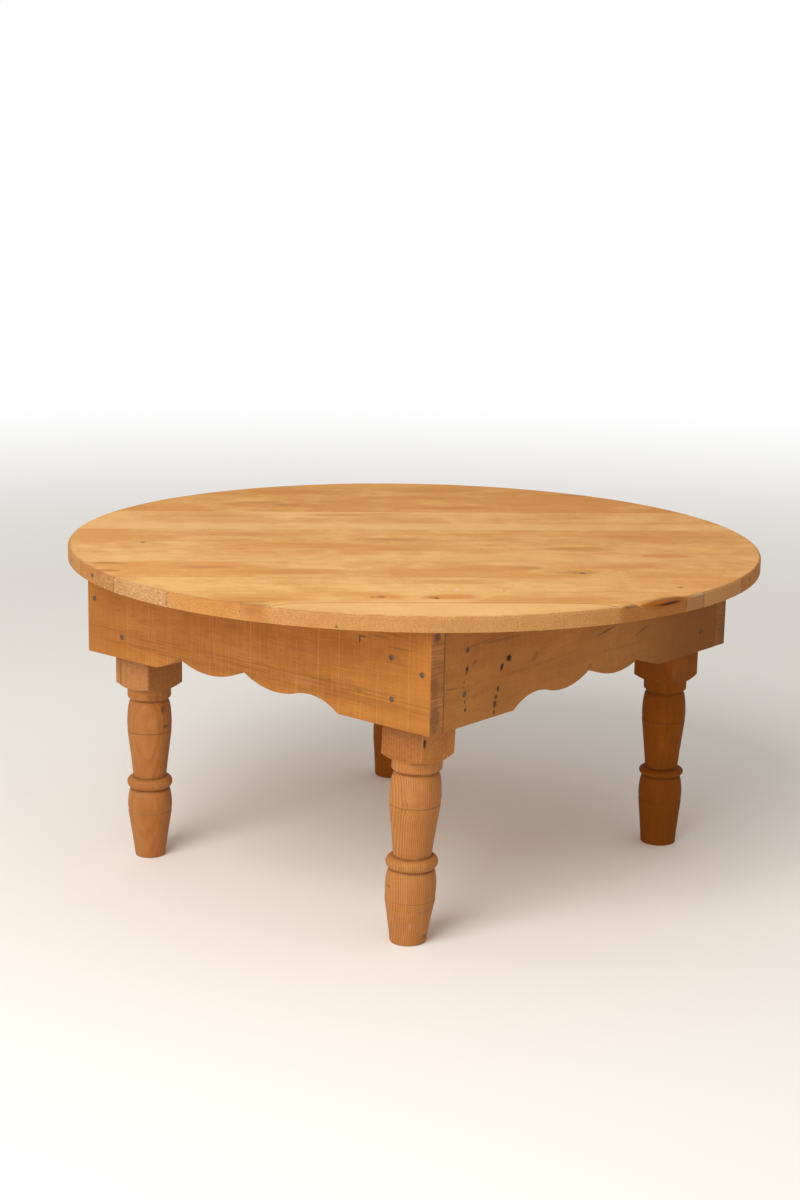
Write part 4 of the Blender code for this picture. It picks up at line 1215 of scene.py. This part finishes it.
class TEATABLE_OT_legs(bpy.types.Operator):
    """Builds the four turned legs."""

    bl_idname = "teatable.legs"
    bl_label = "Build Legs"

    def profile(self, top, foot_radius, habits):
        """The lathe's outline from the floor up, as (radius, height) rows. Bellies are quarters of
        ellipses, the ring is half of one, and the tapers are lines hollowed by a sine."""
        s = bpy.context.scene.tea_table_legs
        lower_shift, upper_shift, ring_share = habits
        ring_half = s.ring_half * ring_share

        def taper(lower, upper, steps):
            share = np.linspace(0, 1, steps + 1)[1:]
            radius = lower[0] + (upper[0] - lower[0]) * share - s.hollow * np.sin(np.pi * share)
            return np.stack([radius, lower[1] + (upper[1] - lower[1]) * share], -1)

        def belly(widest, neck, steps):
            share = np.linspace(0, 1, steps + 1)[1:]
            radius = neck[0] + (widest[0] - neck[0]) * np.sqrt(1 - share**2)
            return np.stack([radius, widest[1] + (neck[1] - widest[1]) * share], -1)

        def groove(radius, height):
            offsets = np.array([-1.4, -0.7, -0.35, 0, 0.35, 0.7]) * MM
            half_width = 0.75 * MM
            cut = np.clip(1 - abs(offsets) / half_width, 0, 1) * s.groove
            return np.stack([radius - cut, height + offsets], -1)

        angles = np.linspace(0, np.pi / 2, 5)
        foot = np.stack([
            foot_radius - s.foot_ease * (1 - np.sin(angles)), s.foot_ease * (1 - np.cos(angles)),
        ], -1)
        ring_angles = np.linspace(np.pi, 0, 19)
        ring_share = (1 + np.cos(ring_angles)) / 2
        inner = s.lower_neck_radius + (s.waist_radius - s.lower_neck_radius) * ring_share
        ring = np.stack([
            inner + (s.ring_radius - inner) * np.sin(ring_angles),
            s.ring + ring_half * np.cos(ring_angles),
        ], -1)
        ease_angles = np.linspace(0, np.pi / 2, 7)
        collar = np.stack([
            s.collar_radius - s.collar_ease * (1 - np.sin(ease_angles)),
            s.collar_bottom + s.collar_ease * (1 - np.cos(ease_angles)),
        ], -1)
        corner_reach = s.block * HALF_ROOT
        slope = s.shoulder_rise / (corner_reach - s.collar_radius)
        shoulder_radius = np.linspace(s.collar_radius, corner_reach + 2 * MM, 22)
        shoulder_height = s.collar_top + (shoulder_radius - s.collar_radius) * slope
        shoulder = np.stack([shoulder_radius, shoulder_height], -1)
        far = 3 * corner_reach
        near_top = top - np.array([0.8, 0.3, 0.05, 0]) * MM
        block_heights = np.linspace(shoulder[-1, 1] + MM, top - 2 * MM, 18)
        block_heights = np.concatenate([block_heights, near_top])
        block = np.stack([np.full(block_heights.shape, far), block_heights], -1)
        lower_groove = groove(s.lower_line_radius, s.lower_line + lower_shift * MM)
        upper_groove = groove(s.upper_line_radius, s.upper_line + upper_shift * MM)
        return np.concatenate([
            foot, taper(foot[-1], lower_groove[0], 18)[:-1], lower_groove,
            taper(lower_groove[-1], (s.lower_belly_radius, s.lower_belly), 5),
            belly((s.lower_belly_radius, s.lower_belly), (s.lower_neck_radius, s.ring - ring_half), 16),
            ring[1:], taper(ring[-1], upper_groove[0], 26)[:-1], upper_groove,
            taper(upper_groove[-1], (s.upper_belly_radius, s.upper_belly), 5),
            belly((s.upper_belly_radius, s.upper_belly), (s.neck_radius, s.neck), 20),
            line_to((s.neck_radius, s.neck), collar[0], 2)[:-1], collar,
            line_to(collar[-1], (s.collar_radius, s.collar_top), 5)[:-1], shoulder, block,
        ])

    def leg_rings(self, corner):
        """Each loop is the lathe's circle cut by the square blank: the radius in a direction is
        the smaller of the profile's and the square's, which is half its side over the larger of
        the direction's cosine and sine, or the chamfer's across a corner. The loops are moved
        over by the lean, which falls from the foot to nothing at the top."""
        s = bpy.context.scene.tea_table_legs
        block, foot, girth, foot_radius, top = measure_leg(corner)
        profile = self.profile(top, foot_radius / girth, LEG_HABITS[corner])
        half = s.block / 2
        face_angle = math.atan2(half - s.arris, half)
        on_face = np.linspace(-face_angle, face_angle, 25)
        on_corner = np.linspace(face_angle, np.pi / 2 - face_angle, 6)[1:-1]
        quarter_turn = np.concatenate([on_face, on_corner])
        angles = np.concatenate([quarter_turn + i * np.pi / 2 for i in range(4)])
        cos, sin = np.cos(angles), np.sin(angles)
        square = half / np.maximum(abs(cos), abs(sin))
        chamfer = (2 * half - s.arris) / (abs(cos) + abs(sin)) + 0.25 * s.arris
        blank = np.minimum(square, chamfer)
        radius, height = profile[:, 0, None], profile[:, 1, None]
        seed = 40 + CORNERS.index(corner)
        turned = height < s.collar_top
        stray = s.tremor * uneven(height / top, seed, 40) * np.clip(height / (10 * MM), 0, 1)
        oval = s.tremor * np.cos(2 * angles + seed)
        lathe = np.where(turned, radius * girth + stray + oval, radius * girth)
        top_ease = 0.4 * MM * np.clip(1 - (top - height) / (0.8 * MM), 0, 1) ** 2
        reach = np.minimum(lathe, blank) - top_ease
        # A lean moves each level sideways in proportion to its depth under the top
        lean = (foot - block)[None, :2] * (1 - profile[:, 1, None] / top)
        x = block[0] + lean[:, 0, None] + reach * cos
        y = block[1] + lean[:, 1, None] + reach * sin
        return np.stack([x, y, np.broadcast_to(height, x.shape)], -1)

    def execute(self, context):
        for corner in CORNERS:
            rings = self.leg_rings(corner)
            solid = f"leg_{corner}"
            add_drilled("turned", solid, rings, leg_finish(corner), sharp=28, hole_steps=12)
        return {"FINISHED"}


class TEATABLE_OT_nails(bpy.types.Operator):
    """Builds the wire nails, each in its own hole."""

    bl_idname = "teatable.nails"
    bl_label = "Build Nails"

    def execute(self, context):
        settings = context.scene.tea_table_nails
        material = nail_finish()
        for name in nail_names():
            tip, outward, full = measure_nail(name)
            rings = turned_rings(nail_profile(settings, full, 0), tip, outward, 24)
            mesh = solid_from_rings(name, rings, sharp=40)
            add_piece(f"wire_{name}", mesh, material, name)
        return {"FINISHED"}


class TEATABLE_OT_stage(bpy.types.Operator):
    """Sets the pale floor, the soft lamps, the daylight and the camera."""

    bl_idname = "teatable.stage"
    bl_label = "Set Stage"

    def floor(self, settings):
        """A flat grid under the feet, which fades to white far from the table."""
        half, drop = settings.floor_size, 0.2 * MM
        steps = np.linspace(-half, half, 9)
        x, y = np.meshgrid(steps, steps)
        points = np.stack([x, y, np.full(x.shape, -drop)], -1).reshape(-1, 3)
        index = np.arange(len(points)).reshape(x.shape)
        quads = np.stack([index[:-1, :-1], index[:-1, 1:], index[1:, 1:], index[1:, :-1]], -1)
        mesh = bpy.data.meshes.new("floor")
        mesh.from_pydata(points, [], quads.reshape(-1, 4).tolist())
        finish = Finish("pale_floor", 0.1)
        feed(finish.shader.inputs["Base Color"], settings.floor)
        finish.shader.inputs["Roughness"].default_value = 0.9
        fade_start, fade_end = 1.3, 4.5
        far = finish.place.length().spread(fade_start, fade_end)
        glow = far.node("Emission", (1, 1, 1), 1)
        seen = self.seen_by(far.tree, "Camera", "Glossy", "Transmission")
        self.blend(far * seen, finish.shader, glow, far.tree.nodes["Material Output"])
        mesh.materials.append(finish.material)
        floor = bpy.data.objects.new("floor", mesh)
        bpy.context.scene.collection.objects.link(floor)

    def seen_by(self, tree, *kinds):
        """1 for light rays of these kinds and 0 for the others."""
        rays = new_node(tree, "LightPath").outputs
        seen = Pattern(rays[f"Is {kinds[0]} Ray"])
        for kind in kinds[1:]:
            seen = seen.math("MAXIMUM", Pattern(rays[f"Is {kind} Ray"]))
        return seen

    def blend(self, amount, under, over, output):
        """Shows one shader, and another over it by an amount."""
        shaders = [Pattern(node.outputs[0]) for node in (under, over)]
        blended = amount.node("MixShader", amount, *shaders)
        feed(output.inputs["Surface"], Pattern(blended.outputs[0]))

    def lamp(self, name, place, target, size, power):
        """A round soft lamp at a place, turned to a target."""
        data = bpy.data.lights.new(name, "AREA")
        data.shape = "DISK"
        data.size = size
        data.energy = power
        lamp = bpy.data.objects.new(name, data)
        way = np.array(target) - np.array(place)
        pitch = math.acos(-way[2] / np.linalg.norm(way))
        lamp.location = place
        lamp.rotation_euler = (pitch, 0, math.atan2(way[1], way[0]) - math.pi / 2)
        bpy.context.scene.collection.objects.link(lamp)

    def daylight(self, strength):
        """Even light from all round, and a plain white for what looks straight at it."""
        world = bpy.data.worlds.new("daylight")
        world.use_nodes = True
        tree = world.node_tree
        soft = tree.nodes["Background"]
        soft.inputs["Color"].default_value = (1, 0.985, 0.96, 1)
        soft.inputs["Strength"].default_value = strength
        white = new_node(tree, "Background", (1, 1, 1), 1)
        seen = self.seen_by(tree, "Camera", "Transmission")
        self.blend(seen, soft, white, tree.nodes["World Output"])
        bpy.context.scene.world = world

    def camera(self):
        """The photograph's own view: where it was taken from, its heading, its tilt down and its
        slight roll, in radians."""
        data = bpy.data.cameras.new("camera")
        data.sensor_fit = "VERTICAL"
        data.sensor_height = 36
        data.lens = 63.4
        camera = bpy.data.objects.new("camera", data)
        heading = Matrix.Rotation(0.7007, 4, "Z")
        tilt = Matrix.Rotation(math.pi / 2 - 0.2208, 4, "X")
        roll = Matrix.Rotation(0.0196, 4, "Z")
        camera.matrix_world = Matrix.Translation((1.6635, -1.9979, 0.9104)) @ heading @ tilt @ roll
        bpy.context.scene.collection.objects.link(camera)
        bpy.context.scene.camera = camera

    def execute(self, context):
        settings = context.scene.tea_table_stage
        self.floor(settings)
        self.daylight(settings.daylight)
        table_middle = (0, 0, 0.25)
        self.lamp("key", (0.5, -2.7, 2.45), table_middle, 2.4, settings.key)
        self.lamp("fill", (0.6, -2.8, 0.6), table_middle, 1.6, settings.fill)
        self.camera()
        context.scene.view_settings.view_transform = "Standard"
        return {"FINISHED"}


class VIEW3D_PT_tea_table(bpy.types.Panel):
    """Lists the steps that build the table, with their settings."""

    bl_label = "Tea Table"
    bl_space_type = "VIEW_3D"
    bl_region_type = "UI"
    bl_category = "Tea Table"

    def draw(self, context):
        for operator, group in zip(OPERATORS, SETTINGS):
            box = self.layout.box()
            box.operator(operator.bl_idname)
            settings = getattr(context.scene, group)
            for name in settings.__annotations__:
                box.prop(settings, name)


# The steps' settings and the steps themselves, in the same order
SETTINGS = {
    "tea_table_top": TopSettings,
    "tea_table_frame": FrameSettings,
    "tea_table_legs": LegSettings,
    "tea_table_nails": NailSettings,
    "tea_table_stage": StageSettings,
}
OPERATORS = (
    TEATABLE_OT_top_boards,
    TEATABLE_OT_frame_boards,
    TEATABLE_OT_legs,
    TEATABLE_OT_nails,
    TEATABLE_OT_stage,
)


def register():
    for name, group in SETTINGS.items():
        bpy.utils.register_class(group)
        setattr(bpy.types.Scene, name, bpy.props.PointerProperty(type=group))
    for cls in (*OPERATORS, VIEW3D_PT_tea_table):
        bpy.utils.register_class(cls)


def unregister():
    for cls in (VIEW3D_PT_tea_table, *reversed(OPERATORS)):
        bpy.utils.unregister_class(cls)
    for name, group in SETTINGS.items():
        delattr(bpy.types.Scene, name)
        bpy.utils.unregister_class(group)


def main():
    register()
    bpy.ops.teatable.top_boards()
    bpy.ops.teatable.frame_boards()
    bpy.ops.teatable.legs()
    bpy.ops.teatable.nails()
    bpy.ops.teatable.stage()


if __name__ == "__main__":
    main()
